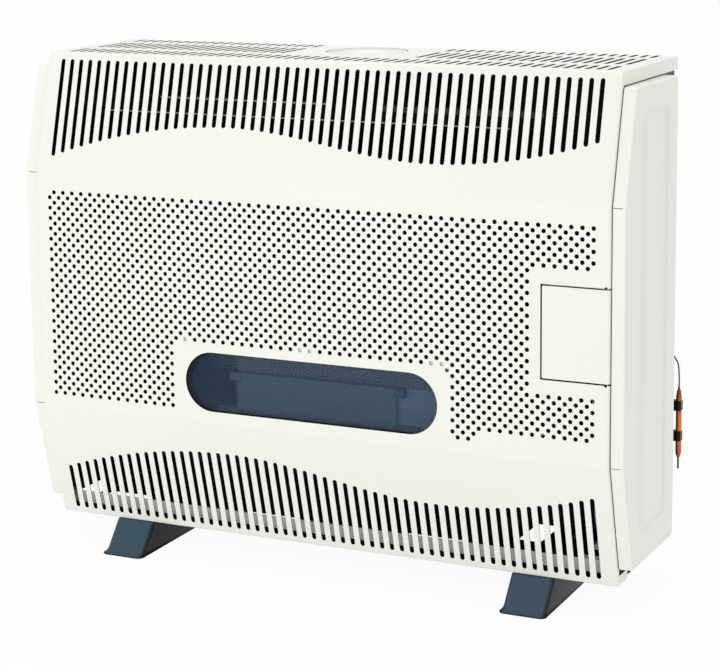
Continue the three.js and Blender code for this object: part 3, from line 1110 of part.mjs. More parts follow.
function makePilot() {
  const rear = BURNER_Y - BURNER_RADIUS - SEAT_GAP;
  const middleY = rear - PILOT_PLATE_DEPTH / 2;
  const places = {
    electrode: PILOT_X - PILOT_SPACING,
    thermocouple: PILOT_X,
    head: PILOT_X + PILOT_SPACING,
  };
  const plateTop = PILOT_PLATE_Z + CHAMBER_WALL;
  const plate = block([PILOT_X - PILOT_PLATE_WIDTH / 2, PILOT_X + PILOT_PLATE_WIDTH / 2],
    [rear - PILOT_PLATE_DEPTH, rear], [PILOT_PLATE_Z, plateTop]);
  const heel = block([PILOT_X - PILOT_PLATE_WIDTH / 2, PILOT_X + PILOT_PLATE_WIDTH / 2],
    [rear - CHAMBER_WALL, rear], [PILOT_PLATE_Z, BURNER_Z + PILOT_HEAD_RADIUS]);
  const head = cylinder('z', [places.head, middleY], PILOT_HEAD_RADIUS,
    [PILOT_PLATE_Z, PILOT_PLATE_Z + PILOT_HEAD_HEIGHT]);
  const flame = cylinder('z', [places.head, middleY], PILOT_HEAD_RADIUS - CHAMBER_WALL,
    [plateTop + 4, PILOT_PLATE_Z + PILOT_HEAD_HEIGHT + CUT_MARGIN]);
  const through = [PILOT_PLATE_Z - CUT_MARGIN, plateTop + CUT_MARGIN];
  const probeHole = cylinder('z', [places.thermocouple, middleY],
    THERMOCOUPLE_RADIUS + 2 * RUNNING_GAP, through);
  const rodHole = cylinder('z', [places.electrode, middleY], ELECTRODE_RADIUS + SEAT_GAP, through);
  addPiece('pilot_burner', cut(joined(plate, heel, head), flame, probeHole, rodHole), zincSteel);

  const tip = PILOT_PLATE_Z + PILOT_HEAD_HEIGHT + 6;
  const rodFoot = PILOT_PLATE_Z - 8;
  addPiece('spark_electrode', joined(
    cylinder('z', [places.electrode, middleY], ELECTRODE_RADIUS, [rodFoot, tip - 10]),
    cylinder('z', [places.electrode, middleY], ELECTRODE_RADIUS / 3, [tip - 11, tip], 8)), ceramicWhite);

  const wall = CHAMBER_SIDE_X;
  addPiece('thermocouple', tube([
    [places.thermocouple, middleY, tip],
    [places.thermocouple, middleY, PILOT_PLATE_Z],
    [places.thermocouple + 1, middleY - 3, LANE_Z + 8],
    [places.thermocouple + 14, THERMOCOUPLE_LANE_Y + 6, LANE_Z],
    [places.thermocouple + 50, THERMOCOUPLE_LANE_Y, LANE_Z],
    [wall - 20, THERMOCOUPLE_LANE_Y, LANE_Z],
    [wall + 30, THERMOCOUPLE_LANE_Y, LANE_Z],
    [KNOB_X - 24, THERMOCOUPLE_LANE_Y, LANE_Z + 40],
    [KNOB_X - 14, THERMOCOUPLE_LANE_Y, VALVE_BOTTOM_Z - 60],
    [KNOB_X - 12, THERMOCOUPLE_LANE_Y, VALVE_BOTTOM_Z - 10],
    [KNOB_X - 12, THERMOCOUPLE_LANE_Y, VALVE_BOTTOM_Z - SEAT_GAP],
  ], THERMOCOUPLE_RADIUS, SMALL_TUBE_SIDES, LONG_TUBE_STEP), copperFinish);

  addPiece('pilot_pipe', tube([
    [places.head, middleY, PILOT_PLATE_Z - SEAT_GAP],
    [places.head, middleY, PILOT_PLATE_Z - 10],
    [places.head + 8, PILOT_LANE_Y + 6, LANE_Z + 3],
    [places.head + 30, PILOT_LANE_Y, LANE_Z],
    [wall - 20, PILOT_LANE_Y, LANE_Z],
    [wall + 30, PILOT_LANE_Y, LANE_Z],
    [KNOB_X - 10, PILOT_LANE_Y, LANE_Z + 50],
    [KNOB_X + 6, PILOT_LANE_Y, VALVE_BOTTOM_Z - 50],
    [KNOB_X + 6, PILOT_LANE_Y, VALVE_BOTTOM_Z - SEAT_GAP],
  ], SMALL_TUBE_RADIUS, SMALL_TUBE_SIDES, LONG_TUBE_STEP), alloy);

  const igniterRear = CONTROL_PLATE_REAR_Y + SEAT_GAP + IGNITER_LENGTH;
  addPiece('ignition_lead', tube([
    [places.electrode, middleY, rodFoot - SEAT_GAP],
    [places.electrode, middleY, rodFoot - 6],
    [places.electrode + 6, LEAD_LANE_Y + 20, LANE_Z + 2],
    [places.electrode + 30, LEAD_LANE_Y, LANE_Z],
    [wall - 20, LEAD_LANE_Y, LANE_Z],
    [wall + 30, LEAD_LANE_Y, LANE_Z],
    [BUTTON_X - 30, LEAD_LANE_Y, LANE_Z + 30],
    [BUTTON_X - 6, igniterRear - 14, BUTTON_Z - 60],
    [BUTTON_X, igniterRear + 16, BUTTON_Z - 16],
    [BUTTON_X, igniterRear + 10, BUTTON_Z],
    [BUTTON_X, igniterRear + SEAT_GAP, BUTTON_Z],
  ], SMALL_TUBE_RADIUS, SMALL_TUBE_SIDES, LONG_TUBE_STEP), blackPlastic);
}

// ---------------------------------------------------------------- controls behind the flap

function makeControls() {
  const left = FLAP_LEFT_X - CONTROL_PLATE_BORDER;
  const plate = joined(
    block([left, INSIDE_X], [CONTROL_PLATE_Y, CONTROL_PLATE_REAR_Y],
      [FLAP_BOTTOM_Z - CONTROL_PLATE_BORDER, FLAP_TOP_Z + CONTROL_PLATE_BORDER]),
    block([INSIDE_X - SHEET, INSIDE_X], [CONTROL_PLATE_Y, CONTROL_PLATE_Y + CONTROL_FLANGE_DEPTH],
      [FLAP_BOTTOM_Z - CONTROL_PLATE_BORDER, FLAP_TOP_Z + CONTROL_PLATE_BORDER]));
  const through = [CONTROL_PLATE_Y - CUT_MARGIN, CONTROL_PLATE_REAR_Y + CUT_MARGIN];
  addPiece('control_plate', cut(plate,
    cylinder('y', [KNOB_X, KNOB_Z], SPINDLE_RADIUS + 2 * RUNNING_GAP, through),
    cylinder('y', [BUTTON_X, BUTTON_Z], BUTTON_STEM_RADIUS + 2 * RUNNING_GAP, through)), cream);

  const body = block([VALVE_LEFT_X, VALVE_RIGHT_X], [VALVE_FRONT_Y, VALVE_REAR_Y],
    [VALVE_BOTTOM_Z, VALVE_TOP_Z]);
  const boss = cylinder('y', [KNOB_X, KNOB_Z], VALVE_BOSS_RADIUS, [VALVE_BOSS_FRONT_Y, VALVE_FRONT_Y + 1]);
  const boreEnd = VALVE_BOSS_FRONT_Y + SPINDLE_REACH + KNOB_TRAVEL + END_PLAY;
  const bore = cylinder('y', [KNOB_X, KNOB_Z], SPINDLE_RADIUS + RUNNING_GAP,
    [VALVE_BOSS_FRONT_Y - CUT_MARGIN, boreEnd]);
  const middleY = (VALVE_FRONT_Y + VALVE_REAR_Y) / 2;
  const cap = cylinder('z', [KNOB_X, middleY], VALVE_BOSS_RADIUS,
    [VALVE_TOP_Z - VALVE_CAP_HEIGHT, VALVE_TOP_Z + VALVE_CAP_HEIGHT]);
  addPiece('gas_valve', joined(body, boss, cap).subtract(bore), alloy);

  const knobRear = CONTROL_PLATE_Y - KNOB_STANDOFF;
  const knobFront = knobRear - KNOB_LENGTH;
  const hubRear = knobRear - COLLAR_LENGTH - 2 * RUNNING_GAP;
  const spindleFront = knobFront + KNOB_FACE / 2;
  const spindleRear = VALVE_BOSS_FRONT_Y + SPINDLE_REACH;
  const spindle = cylinder('y', [KNOB_X, KNOB_Z], SPINDLE_RADIUS, [spindleFront, spindleRear]);
  addPiece('valve_spindle', spindle, brassFinish);
  addPiece('spindle_collar', ring('y', [KNOB_X, KNOB_Z], COLLAR_RADIUS, SPINDLE_RADIUS + RUNNING_GAP,
    [knobRear - COLLAR_LENGTH, knobRear]), zincSteel);

  const knobDisc = cylinder('y', [KNOB_X, KNOB_Z], KNOB_RADIUS, [knobFront, knobRear], ROUND);
  const knobHollow = cylinder('y', [KNOB_X, KNOB_Z], KNOB_RADIUS - KNOB_WALL,
    [knobFront + KNOB_FACE, knobRear + CUT_MARGIN], ROUND);
  const hub = cylinder('y', [KNOB_X, KNOB_Z], KNOB_HUB_RADIUS, [knobFront + KNOB_FACE - 1, hubRear]);
  const knobBore = cylinder('y', [KNOB_X, KNOB_Z], SPINDLE_RADIUS + SEAT_GAP,
    [spindleFront - SEAT_GAP, knobRear + CUT_MARGIN]);
  const grip = block([KNOB_X - KNOB_WALL, KNOB_X + KNOB_WALL], [knobFront - KNOB_GRIP_HEIGHT, knobFront + 1],
    [KNOB_Z - KNOB_GRIP_REACH, KNOB_Z + KNOB_GRIP_REACH]);
  const knob = joined(knobDisc.subtract(knobHollow), hub, grip);
  addPiece('control_knob', knob.subtract(knobBore), blackPlastic);

  const igniterFront = CONTROL_PLATE_REAR_Y + SEAT_GAP;
  const stemBore = cylinder('y', [BUTTON_X, BUTTON_Z], BUTTON_STEM_RADIUS + RUNNING_GAP,
    [igniterFront - CUT_MARGIN, igniterFront + BUTTON_STEM_REACH + BUTTON_TRAVEL + END_PLAY]);
  addPiece('piezo_igniter', cylinder('y', [BUTTON_X, BUTTON_Z], IGNITER_RADIUS,
    [igniterFront, igniterFront + IGNITER_LENGTH]).subtract(stemBore), blackPlastic);
  const headRear = CONTROL_PLATE_Y - BUTTON_TRAVEL - 1;
  const button = joined(
    cylinder('y', [BUTTON_X, BUTTON_Z], BUTTON_RADIUS, [headRear - BUTTON_LENGTH, headRear], ROUND),
    cylinder('y', [BUTTON_X, BUTTON_Z], BUTTON_STEM_RADIUS,
      [headRear - 1, igniterFront + BUTTON_STEM_REACH]));
  addPiece('piezo_button', button, redPlastic);
}

function makeGasInlet() {
  const unionRear = BACK_PANEL_REAR_Y;
  const unionFront = unionRear - INLET_UNION_LENGTH;
  const x = KNOB_X;
  const flangeRear = FRAME_REAR_Y;
  const pipeEnd = unionRear - INLET_UNION_LENGTH / 2;
  const union = joined(
    cylinder('y', [x, INLET_Z], INLET_UNION_RADIUS, [unionFront, unionRear], HEXAGON),
    cylinder('y', [x, INLET_Z], INLET_FLANGE_RADIUS, [flangeRear - 2 * SHEET, flangeRear]));
  addPiece('inlet_union', cut(union,
    cylinder('y', [x, INLET_Z], INLET_PIPE_RADIUS + SEAT_GAP,
      [unionFront - CUT_MARGIN, pipeEnd + SEAT_GAP]),
    cylinder('y', [x, INLET_Z], INLET_BORE_RADIUS, [unionFront, unionRear + CUT_MARGIN])), brassFinish);
  const inletZ = VALVE_BOTTOM_Z + VALVE_HEIGHT / 3;
  addPiece('gas_inlet_pipe', tube([
    [x, VALVE_REAR_Y + SEAT_GAP, inletZ],
    [x, VALVE_REAR_Y + 8, inletZ],
    [x, VALVE_REAR_Y + 20, inletZ - 12],
    [x, VALVE_REAR_Y + 20, inletZ - 40],
    [x, VALVE_REAR_Y + 20, INLET_Z + 40],
    [x, VALVE_REAR_Y + 22, INLET_Z + 14],
    [x, VALVE_REAR_Y + 36, INLET_Z],
    [x, unionFront - 10, INLET_Z],
    [x, pipeEnd, INLET_Z],
  ], INLET_PIPE_RADIUS, TUBE_SIDES, LONG_TUBE_STEP), alloy);
}

// ---------------------------------------------------------------- thermostat

function makeThermostat() {
  const nose = BULB_RADIUS;
  const profile = [[0, BULB_BOTTOM_Z - BULB_TAIL], [BULB_TAIL_RADIUS, BULB_BOTTOM_Z - BULB_TAIL],
    [BULB_TAIL_RADIUS, BULB_BOTTOM_Z], [BULB_RADIUS * 0.7, BULB_BOTTOM_Z + nose * 0.4],
    [BULB_RADIUS, BULB_BOTTOM_Z + nose], [BULB_RADIUS, BULB_TOP_Z - nose],
    [BULB_RADIUS * 0.6, BULB_TOP_Z - nose * 0.3], [BULB_TAIL_RADIUS, BULB_TOP_Z],
    [BULB_TAIL_RADIUS, BULB_TOP_Z + BULB_NECK], [0, BULB_TOP_Z + BULB_NECK]];
  addPiece('thermostat_bulb', turned(profile, [BULB_X, BULB_Y], BULB_SIDES), copperFinish);

  const clipOuter = Math.min(BULB_RADIUS + SEAT_GAP + BULB_CLIP_WALL, HALF_WIDTH + TRAY_STANDOFF - BULB_X);
  for (const [name, z] of [['lower', BULB_CLIP_LOW_Z], ['upper', BULB_CLIP_HIGH_Z]]) {
    const span = [z, z + BULB_CLIP_HEIGHT];
    const arm = [BULB_Y - BULB_CLIP_ARM, BULB_Y + BULB_CLIP_ARM];
    const base = block([FRAME_OUT + SEAT_GAP, BULB_X], arm, span);
    const bore = cylinder('z', [BULB_X, BULB_Y], BULB_RADIUS + SEAT_GAP,
      [z - CUT_MARGIN, z + BULB_CLIP_HEIGHT + CUT_MARGIN], BULB_SIDES);
    const grip = cylinder('z', [BULB_X, BULB_Y], clipOuter, span, BULB_SIDES);
    addPiece(`bulb_clip_${name}`, joined(base, grip).subtract(bore), blackPlastic);
  }

  const neckTop = BULB_TOP_Z + BULB_NECK + SEAT_GAP;
  addPiece('capillary', tube([
    [BULB_X, BULB_Y, neckTop],
    [BULB_X, BULB_Y, neckTop + 12],
    [BULB_X - 1.5, BULB_Y, neckTop + 28],
    [BULB_X - 6, BULB_Y, CAPILLARY_ENTRY_Z - 14],
    [FRAME_OUT + 3, BULB_Y, CAPILLARY_ENTRY_Z - 1],
    [FRAME_IN - 3, BULB_Y, CAPILLARY_ENTRY_Z + 2],
    [FRAME_IN - 20, BULB_Y - 16, CAPILLARY_ENTRY_Z + 30],
    [FRAME_IN - 24, BULB_Y - 60, VALVE_TOP_Z],
    [VALVE_RIGHT_X - 6, VALVE_REAR_Y + 20, VALVE_TOP_Z + 36],
    [VALVE_RIGHT_X - 8, VALVE_REAR_Y - 4, VALVE_TOP_Z + 26],
    [VALVE_RIGHT_X - 8, VALVE_REAR_Y - 8, VALVE_TOP_Z + 10],
    [VALVE_RIGHT_X - 8, VALVE_REAR_Y - 8, VALVE_TOP_Z + SEAT_GAP],
  ], CAPILLARY_RADIUS, SMALL_TUBE_SIDES), copperFinish);
}

// ---------------------------------------------------------------- the heater

makeFrontCasing();
makeSideTrays();
makeControlFlap();
makeFlapHardware();
makeViewingWindow();
makeBasePan();
makeSideFrames();
makeBackPanel();
makeFrontRail();
makeFeet();
makeFlue();
makeChamber();
makeChamberSupports();
makeBurner();
makePilot();
makeControls();
makeGasInlet();
makeThermostat();

export default heater;
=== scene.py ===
"""Wall mounted gas heater: folded sheet casing, side trays, feet, window, controls and thermostat bulb.

Sizes are in millimetres in the heater's own frame: +X to the viewer's right, +Y to the wall, +Z up,
with the origin on the floor in the middle of the plan. Meshes are scaled to metres once they are whole.
"""
from __future__ import annotations

import json
import logging
import math
from dataclasses import dataclass, field
from enum import Enum
from typing import Any, Callable, Iterable, Sequence

import bmesh
import bpy
from mathutils import Matrix, Vector
from mathutils.geometry import tessellate_polygon

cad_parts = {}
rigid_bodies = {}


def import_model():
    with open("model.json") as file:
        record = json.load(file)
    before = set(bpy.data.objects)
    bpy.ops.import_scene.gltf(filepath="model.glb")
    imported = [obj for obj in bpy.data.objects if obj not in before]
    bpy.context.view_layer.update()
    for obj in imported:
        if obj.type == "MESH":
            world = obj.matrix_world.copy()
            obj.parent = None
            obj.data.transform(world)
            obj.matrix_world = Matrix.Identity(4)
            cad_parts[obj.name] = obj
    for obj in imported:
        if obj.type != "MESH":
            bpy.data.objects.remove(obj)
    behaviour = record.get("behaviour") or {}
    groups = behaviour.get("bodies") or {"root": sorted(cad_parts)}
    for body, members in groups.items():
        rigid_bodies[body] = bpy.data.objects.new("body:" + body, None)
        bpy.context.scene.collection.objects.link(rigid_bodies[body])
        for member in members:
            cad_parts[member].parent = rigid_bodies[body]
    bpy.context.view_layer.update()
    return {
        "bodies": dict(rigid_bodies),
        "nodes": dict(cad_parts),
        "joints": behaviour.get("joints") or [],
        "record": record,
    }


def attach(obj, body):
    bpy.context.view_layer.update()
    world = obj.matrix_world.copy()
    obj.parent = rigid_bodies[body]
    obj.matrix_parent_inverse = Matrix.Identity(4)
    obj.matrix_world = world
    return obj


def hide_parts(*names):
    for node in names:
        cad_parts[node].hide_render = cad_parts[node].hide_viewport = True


Point2 = tuple[float, float]
Point3 = tuple[float, float, float]
Colour = tuple[float, float, float]
Line = tuple[Point2, Point2]

LOG = logging.getLogger("heater")
MM = 0.001
INNER_SIDE = "inner_side"
EVEN: Point3 = (1.0, 1.0, 1.0)
UP: Point3 = (0.0, 0.0, 1.0)
DOWN: Point3 = (0.0, 0.0, -1.0)
FORWARD: Point3 = (0.0, -1.0, 0.0)
RIGHT: Point3 = (1.0, 0.0, 0.0)
MIX_LOW, MIX_HIGH, MIX_COLOUR = 6, 7, 2


class Body(str, Enum):
    """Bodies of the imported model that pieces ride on."""

    HEATER = "heater_body"
    FLAP = "flap"
    KNOB = "knob"
    BUTTON = "igniter_button"


def adjust(item: Any, **settings: Any) -> Any:
    """Sets several properties of an item.

    Args:
        item: a node, a modifier or any data block.
        settings: values by property name.

    Returns:
        The same item.
    """
    for key, value in settings.items():
        setattr(item, key, value)
    return item


def placed(name: str, data: Any) -> bpy.types.Object:
    """Links a new object to the scene.

    Args:
        name: its name.
        data: its mesh, lamp or camera.

    Returns:
        The object.
    """
    made = bpy.data.objects.new(name, data)
    bpy.context.scene.collection.objects.link(made)
    return made


def baked(source: bpy.types.Object) -> bpy.types.Mesh:
    """An object's mesh with its modifiers carried out."""
    graph = bpy.context.evaluated_depsgraph_get()
    return bpy.data.meshes.new_from_object(source.evaluated_get(graph))


# ------------------------------------------------------------------ node trees and shader maths


class Graph:
    """A node tree that is built node by node."""

    def __init__(self, tree: bpy.types.NodeTree) -> None:
        """Takes over a tree and empties it."""
        self.tree = tree
        tree.nodes.clear()

    def feed(self, socket: Any, value: Any) -> None:
        """Sets or links one input.

        Args:
            socket: the input socket.
            value: a Shade, an output socket, a plain value, or a list that feeds one socket many times.
        """
        for item in value if isinstance(value, list) else [value]:
            source = item.socket if isinstance(item, Shade) else item
            if isinstance(source, bpy.types.NodeSocket):
                self.tree.links.new(source, socket)
            else:
                socket.default_value = source

    def add(self, kind: str, settings: dict[str, Any] | None = None,
            inputs: dict[Any, Any] | None = None) -> bpy.types.Node:
        """Adds a node.

        Args:
            kind: its type.
            settings: its settings.
            inputs: values or links by socket name or number.

        Returns:
            The node.
        """
        made = adjust(self.tree.nodes.new(kind), **(settings or {}))
        for key, value in (inputs or {}).items():
            self.feed(made.inputs[key], value)
        return made

    def node(self, kind: str, settings: dict[str, Any] | None = None,
             inputs: dict[Any, Any] | None = None, output: Any = 0) -> Any:
        """Adds a node and gives one of its outputs."""
        return self.add(kind, settings, inputs).outputs[output]


class Shade:
    """A shader value that can stand in an arithmetic expression."""

    def __init__(self, graph: "ShaderGraph", socket: Any) -> None:
        """Wraps an output socket of a graph."""
        self.graph = graph
        self.socket = socket

    def __add__(self, other: "Shade | float") -> "Shade":
        """Sum."""
        return self.graph.maths("ADD", self, other)

    def __sub__(self, other: "Shade | float") -> "Shade":
        """Difference."""
        return self.graph.maths("SUBTRACT", self, other)

    def __rsub__(self, other: float) -> "Shade":
        """Difference from a number."""
        return self.graph.maths("SUBTRACT", other, self)

    def __mul__(self, other: "Shade | float") -> "Shade":
        """Product."""
        return self.graph.maths("MULTIPLY", self, other)

    def __pow__(self, other: float) -> "Shade":
        """Power."""
        return self.graph.maths("POWER", self, other)

    __radd__ = __add__
    __rmul__ = __mul__

    def size(self) -> "Shade":
        """The value without its sign."""
        return self.graph.maths("ABSOLUTE", self, 0.0)

    def larger(self, other: "Shade | float") -> "Shade":
        """The larger of two values."""
        return self.graph.maths("MAXIMUM", self, other)

    def above(self, limit: float) -> "Shade":
        """1 beyond a limit in millimetres, 0 elsewhere."""
        return self.graph.maths("GREATER_THAN", self, limit * MM)

    def below(self, limit: float) -> "Shade":
        """1 short of a limit in millimetres, 0 elsewhere."""
        return self.graph.maths("LESS_THAN", self, limit * MM)

    def hypot(self, other: "Shade") -> "Shade":
        """The length of two lengths at right angles."""
        return (self ** 2.0 + other ** 2.0) ** 0.5

    def ramp(self, start: float, end: float) -> "Shade":
        """0 up to one place, 1 from another, and straight between them; both in millimetres."""
        share = (self - start * MM) * (1.0 / ((end - start) * MM))
        return self.graph.maths("MINIMUM", share.larger(0.0), 1.0)


@dataclass(frozen=True)
class Grain:
    """A noise pattern: cells per metre, octaves, weight of the finer octaves and stretch along each axis."""

    scale: float
    detail: float = 2.0
    roughness: float = 0.5
    stretch: Point3 = EVEN


class ShaderGraph(Graph):
    """The node tree of a material or of the world."""

    def __init__(self, holder: Any) -> None:
        """Takes over the tree of a material or a world."""
        holder.use_nodes = True
        super().__init__(holder.node_tree)

    def start(self) -> None:
        """Ends the tree in a Principled shader."""
        self.shader = self.add("ShaderNodeBsdfPrincipled")
        self.add("ShaderNodeOutputMaterial", None, {"Surface": self.shader.outputs["BSDF"]})

    def node(self, kind: str, settings: dict[str, Any] | None = None,
             inputs: dict[Any, Any] | None = None, output: Any = 0) -> Shade:
        """Adds a node and wraps one of its outputs."""
        return Shade(self, super().node(kind, settings, inputs, output))

    def maths(self, operation: str, first: "Shade | float", second: "Shade | float") -> Shade:
        """A Math node."""
        return self.node("ShaderNodeMath", {"operation": operation}, {0: first, 1: second})

    def place(self, stretch: Point3 = EVEN) -> Shade:
        """Object coordinates in metres, times a factor along each axis."""
        where = self.node("ShaderNodeTexCoord", output="Object")
        return where if stretch == EVEN else self.node(
            "ShaderNodeMapping", {"vector_type": "POINT"}, {"Vector": where, "Scale": stretch})

    def along(self, axis: str) -> Shade:
        """The object coordinate along X, Y or Z, in metres."""
        return self.node("ShaderNodeSeparateXYZ", None, {0: self.place()}, output=axis)

    def noise(self, grain: Grain) -> Shade:
        """Noise over the surface, from 0 to 1."""
        return self.node("ShaderNodeTexNoise", {"noise_dimensions": "3D"},
                         {"Vector": self.place(grain.stretch), "Scale": grain.scale, "Detail": grain.detail,
                          "Roughness": grain.roughness}, output="Fac")

    def blend(self, factor: "Shade | float", low: Any, high: Any) -> Shade:
        """Mixes two colours; the factor is the share of the second."""
        ends = {key: end if isinstance(end, Shade) else (*end, 1.0)
                for key, end in ((MIX_LOW, low), (MIX_HIGH, high))}
        return self.node("ShaderNodeMix", {"data_type": "RGBA"}, {0: factor, **ends}, output=MIX_COLOUR)

    def bump(self, height: Shade, depth: float) -> None:
        """Feeds a bump to the shader, from a height of 0 to 1 and a real depth in metres."""
        inputs = {"Distance": depth, "Height": height}
        self.set(Normal=self.node("ShaderNodeBump", None, inputs, output="Normal"))

    def set(self, **values: Any) -> None:
        """Sets the shader's inputs; underscores stand for spaces."""
        for key, value in values.items():
            self.feed(self.shader.inputs[key.replace("_", " ")], value)


def scaled(colour: Colour, factor: float) -> Colour:
    """A colour made lighter or darker."""
    return tuple(min(channel * factor, 1.0) for channel in colour)


def linear(red: int, green: int, blue: int) -> Colour:
    """A linear colour from display values of 0 to 255."""
    return tuple(((c / 255 + 0.055) / 1.055) ** 2.4 if c > 10 else c / 255 / 12.92
                 for c in (red, green, blue))


# ------------------------------------------------------------------ finishes


@dataclass(frozen=True)
class Finish:
    """A surface finish: a named material and its slot in the record."""

    name: str
    slot: str
    colour: Colour
    roughness: float = 0.4

    def dress(self, graph: ShaderGraph) -> None:
        """Adds the nodes of this finish to a material's graph."""
        raise NotImplementedError

    def tones(self, graph: ShaderGraph, factor: Shade, low: float, high: float) -> Shade:
        """The finish's colour between two factors of lightness."""
        return graph.blend(factor, scaled(self.colour, low), scaled(self.colour, high))

    def uneven(self, pattern: Shade, amount: float) -> Shade:
        """The roughness, varied by a pattern."""
        return (pattern - 0.5) * amount + self.roughness

    def material(self) -> bpy.types.Material:
        """The material, made once.

        Returns:
            The material.
        """
        name = f"{self.name}_finish"
        if name not in bpy.data.materials:
            graph = ShaderGraph(bpy.data.materials.new(name))
            graph.start()
            self.dress(graph)
        return bpy.data.materials[name]


@dataclass(frozen=True)
class Enamel(Finish):
    """Stove enamel or powder coat: fine orange peel under a soft gloss, and a near black inner side, a dark
    ground coat with painted shade.
    """

    drift: Grain = Grain(7.0, 3.0)
    cloud: Grain = Grain(38.0)
    peel: Grain = Grain(520.0, 1.5, 0.4)
    peel_depth: float = 0.00006
    drift_height: float = 0.3
    cloudiness: float = 0.12
    coat: float = 0.15
    coat_roughness: float = 0.12
    tint: float = 0.02
    specular: float = 0.4
    # painted shade: the near black inner side stands for the shade inside the case, over a dark ground coat
    inner_coat_and_shade: Colour = (0.010, 0.011, 0.012)
    lining_roughness: float = 0.4

    def dress(self, graph: ShaderGraph) -> None:
        """Colour that drifts slightly, orange peel, faint handling marks and the near black inner side of
        ground coat and painted shade.

        Args:
            graph: the material's graph.
        """
        drift = graph.noise(self.drift)
        inside = graph.node("ShaderNodeAttribute", {"attribute_name": INNER_SIDE}, output="Fac")
        rough = self.uneven(graph.noise(self.cloud), self.cloudiness) + inside * self.lining_roughness
        graph.set(Base_Color=graph.blend(inside, self.body_colour(graph, drift), self.inner_coat_and_shade),
                  Roughness=rough,
                  Specular_IOR_Level=self.specular, Coat_Weight=(1.0 - inside) * self.coat,
                  Coat_Roughness=self.coat_roughness)
        graph.bump(graph.noise(self.peel) + drift * self.drift_height, self.peel_depth)

    def body_colour(self, graph: ShaderGraph, drift: Shade) -> Shade:
        """The enamel's own colour, which drifts slightly."""
        return self.tones(graph, drift, 1.0 - self.tint, 1.0 + self.tint * 0.4)


@dataclass(frozen=True)
class FootEnamel(Enamel):
    """The feet's enamel, with painted shade making the flanks dark and brownish."""

    centre: float = 289.0
    flank: Point2 = (24.0, 29.0)
    # painted shade: the flanks go brownish near black, as on the side turned from the light
    flank_shade: Colour = (0.010, 0.009, 0.009)

    def body_colour(self, graph: ShaderGraph, drift: Shade) -> Shade:
        """The enamel's colour, fading into painted shade on the flanks."""
        away = (graph.along("X").size() - self.centre * MM).size()
        return graph.blend(away.ramp(*self.flank), super().body_colour(graph, drift), self.flank_shade)


@dataclass(frozen=True)
class Metal(Finish):
    """Bare or plated metal with rolling lines and cloudy patches."""

    lines: Grain = Grain(900.0, 2.0, 0.6, (0.05, 1.0, 1.0))
    bloom: Grain = Grain(60.0, 3.0, 0.55)
    lightness: Point2 = (0.82, 1.12)
    depth: float = 0.00003
    metallic: float = 1.0
    specular: float = 0.5

    def dress(self, graph: ShaderGraph) -> None:
        """Fine lines along the sheet and a dull patchy bloom.

        Args:
            graph: the material's graph.
        """
        lines, bloom = graph.noise(self.lines), graph.noise(self.bloom)
        graph.set(Base_Color=self.tones(graph, bloom, *self.lightness), Metallic=self.metallic,
                  Specular_IOR_Level=self.specular, Roughness=self.uneven(bloom, 0.2) + (lines - 0.5) * 0.1)
        graph.bump(lines, self.depth)


@dataclass(frozen=True)
class SootyBore(Metal):
    """Plated pipe with soot inside its bore."""

    axis_z: float = 589.8
    bore: float = 53.4
    soot: Colour = (0.006, 0.006, 0.006)

    def dress(self, graph: ShaderGraph) -> None:
        """Metal outside, soot nearer to the axis than the bore's radius.

        Args:
            graph: the material's graph.
        """
        super().dress(graph)
        reach = graph.along("X").size().hypot((graph.along("Z") - self.axis_z * MM).size())
        inside = reach.below(self.bore)
        plated = self.tones(graph, graph.noise(self.bloom), *self.lightness)
        graph.set(Base_Color=graph.blend(inside, plated, self.soot), Metallic=1.0 - inside)


@dataclass(frozen=True)
class Moulded(Finish):
    """Moulded plastic or porcelain with a faint mould texture."""

    grain: Grain = Grain(1400.0)
    shade: Grain = Grain(90.0)
    depth: float = 0.00002
    coat: float = 0.0
    specular: float = 0.5

    def dress(self, graph: ShaderGraph) -> None:
        """Fine mould grain and slight shade changes.

        Args:
            graph: the material's graph.
        """
        grain = graph.noise(self.grain)
        graph.set(Base_Color=self.tones(graph, graph.noise(self.shade), 0.85, 1.15), Coat_Weight=self.coat,
                  Roughness=self.uneven(grain, 0.1), Specular_IOR_Level=self.specular)
        graph.bump(grain, self.depth)


@dataclass(frozen=True)
class Glazing(Finish):
    """Tinted heat glass with a faint smear and, where it has one, a black border: partly print, partly
    painted shade of the gap behind the opening's edge.
    """

    alpha: float = 0.5
    specular: float = 0.2
    smear: Grain = Grain(14.0, 3.0, 0.6, (1.0, 1.0, 2.5))
    border: float = 0.0
    border_soft: float = 0.5
    border_x: float = 4.6
    border_half: float = 139.5
    border_z: float = 257.0
    print_and_shade: Colour = (0.004, 0.004, 0.005)

    def edge(self, graph: ShaderGraph) -> Shade:
        """The share of the border, by distance from the opening's middle line.

        Args:
            graph: the material's graph.

        Returns:
            0 on the clear pane and 1 on the border.
        """
        beyond = (graph.along("X") - self.border_x * MM).size() - self.border_half * MM
        height = (graph.along("Z") - self.border_z * MM).size()
        return beyond.larger(0.0).hypot(height).ramp(self.border, self.border + self.border_soft)

    def dress(self, graph: ShaderGraph) -> None:
        """A see-through tint with a smear that dulls the gloss.

        Args:
            graph: the material's graph.
        """
        smear = graph.noise(self.smear)
        base = self.tones(graph, smear, 0.92, 1.08)
        alpha = self.alpha + (smear - 0.5) * 0.05
        # painted shade: the black border also stands for the dark gap behind the casing's window edge
        if self.border:
            edge = self.edge(graph)
            base, alpha = graph.blend(edge, base, self.print_and_shade), alpha.larger(edge)
        graph.set(Base_Color=base, Roughness=self.uneven(smear, 0.04), Alpha=alpha,
                  Specular_IOR_Level=self.specular)


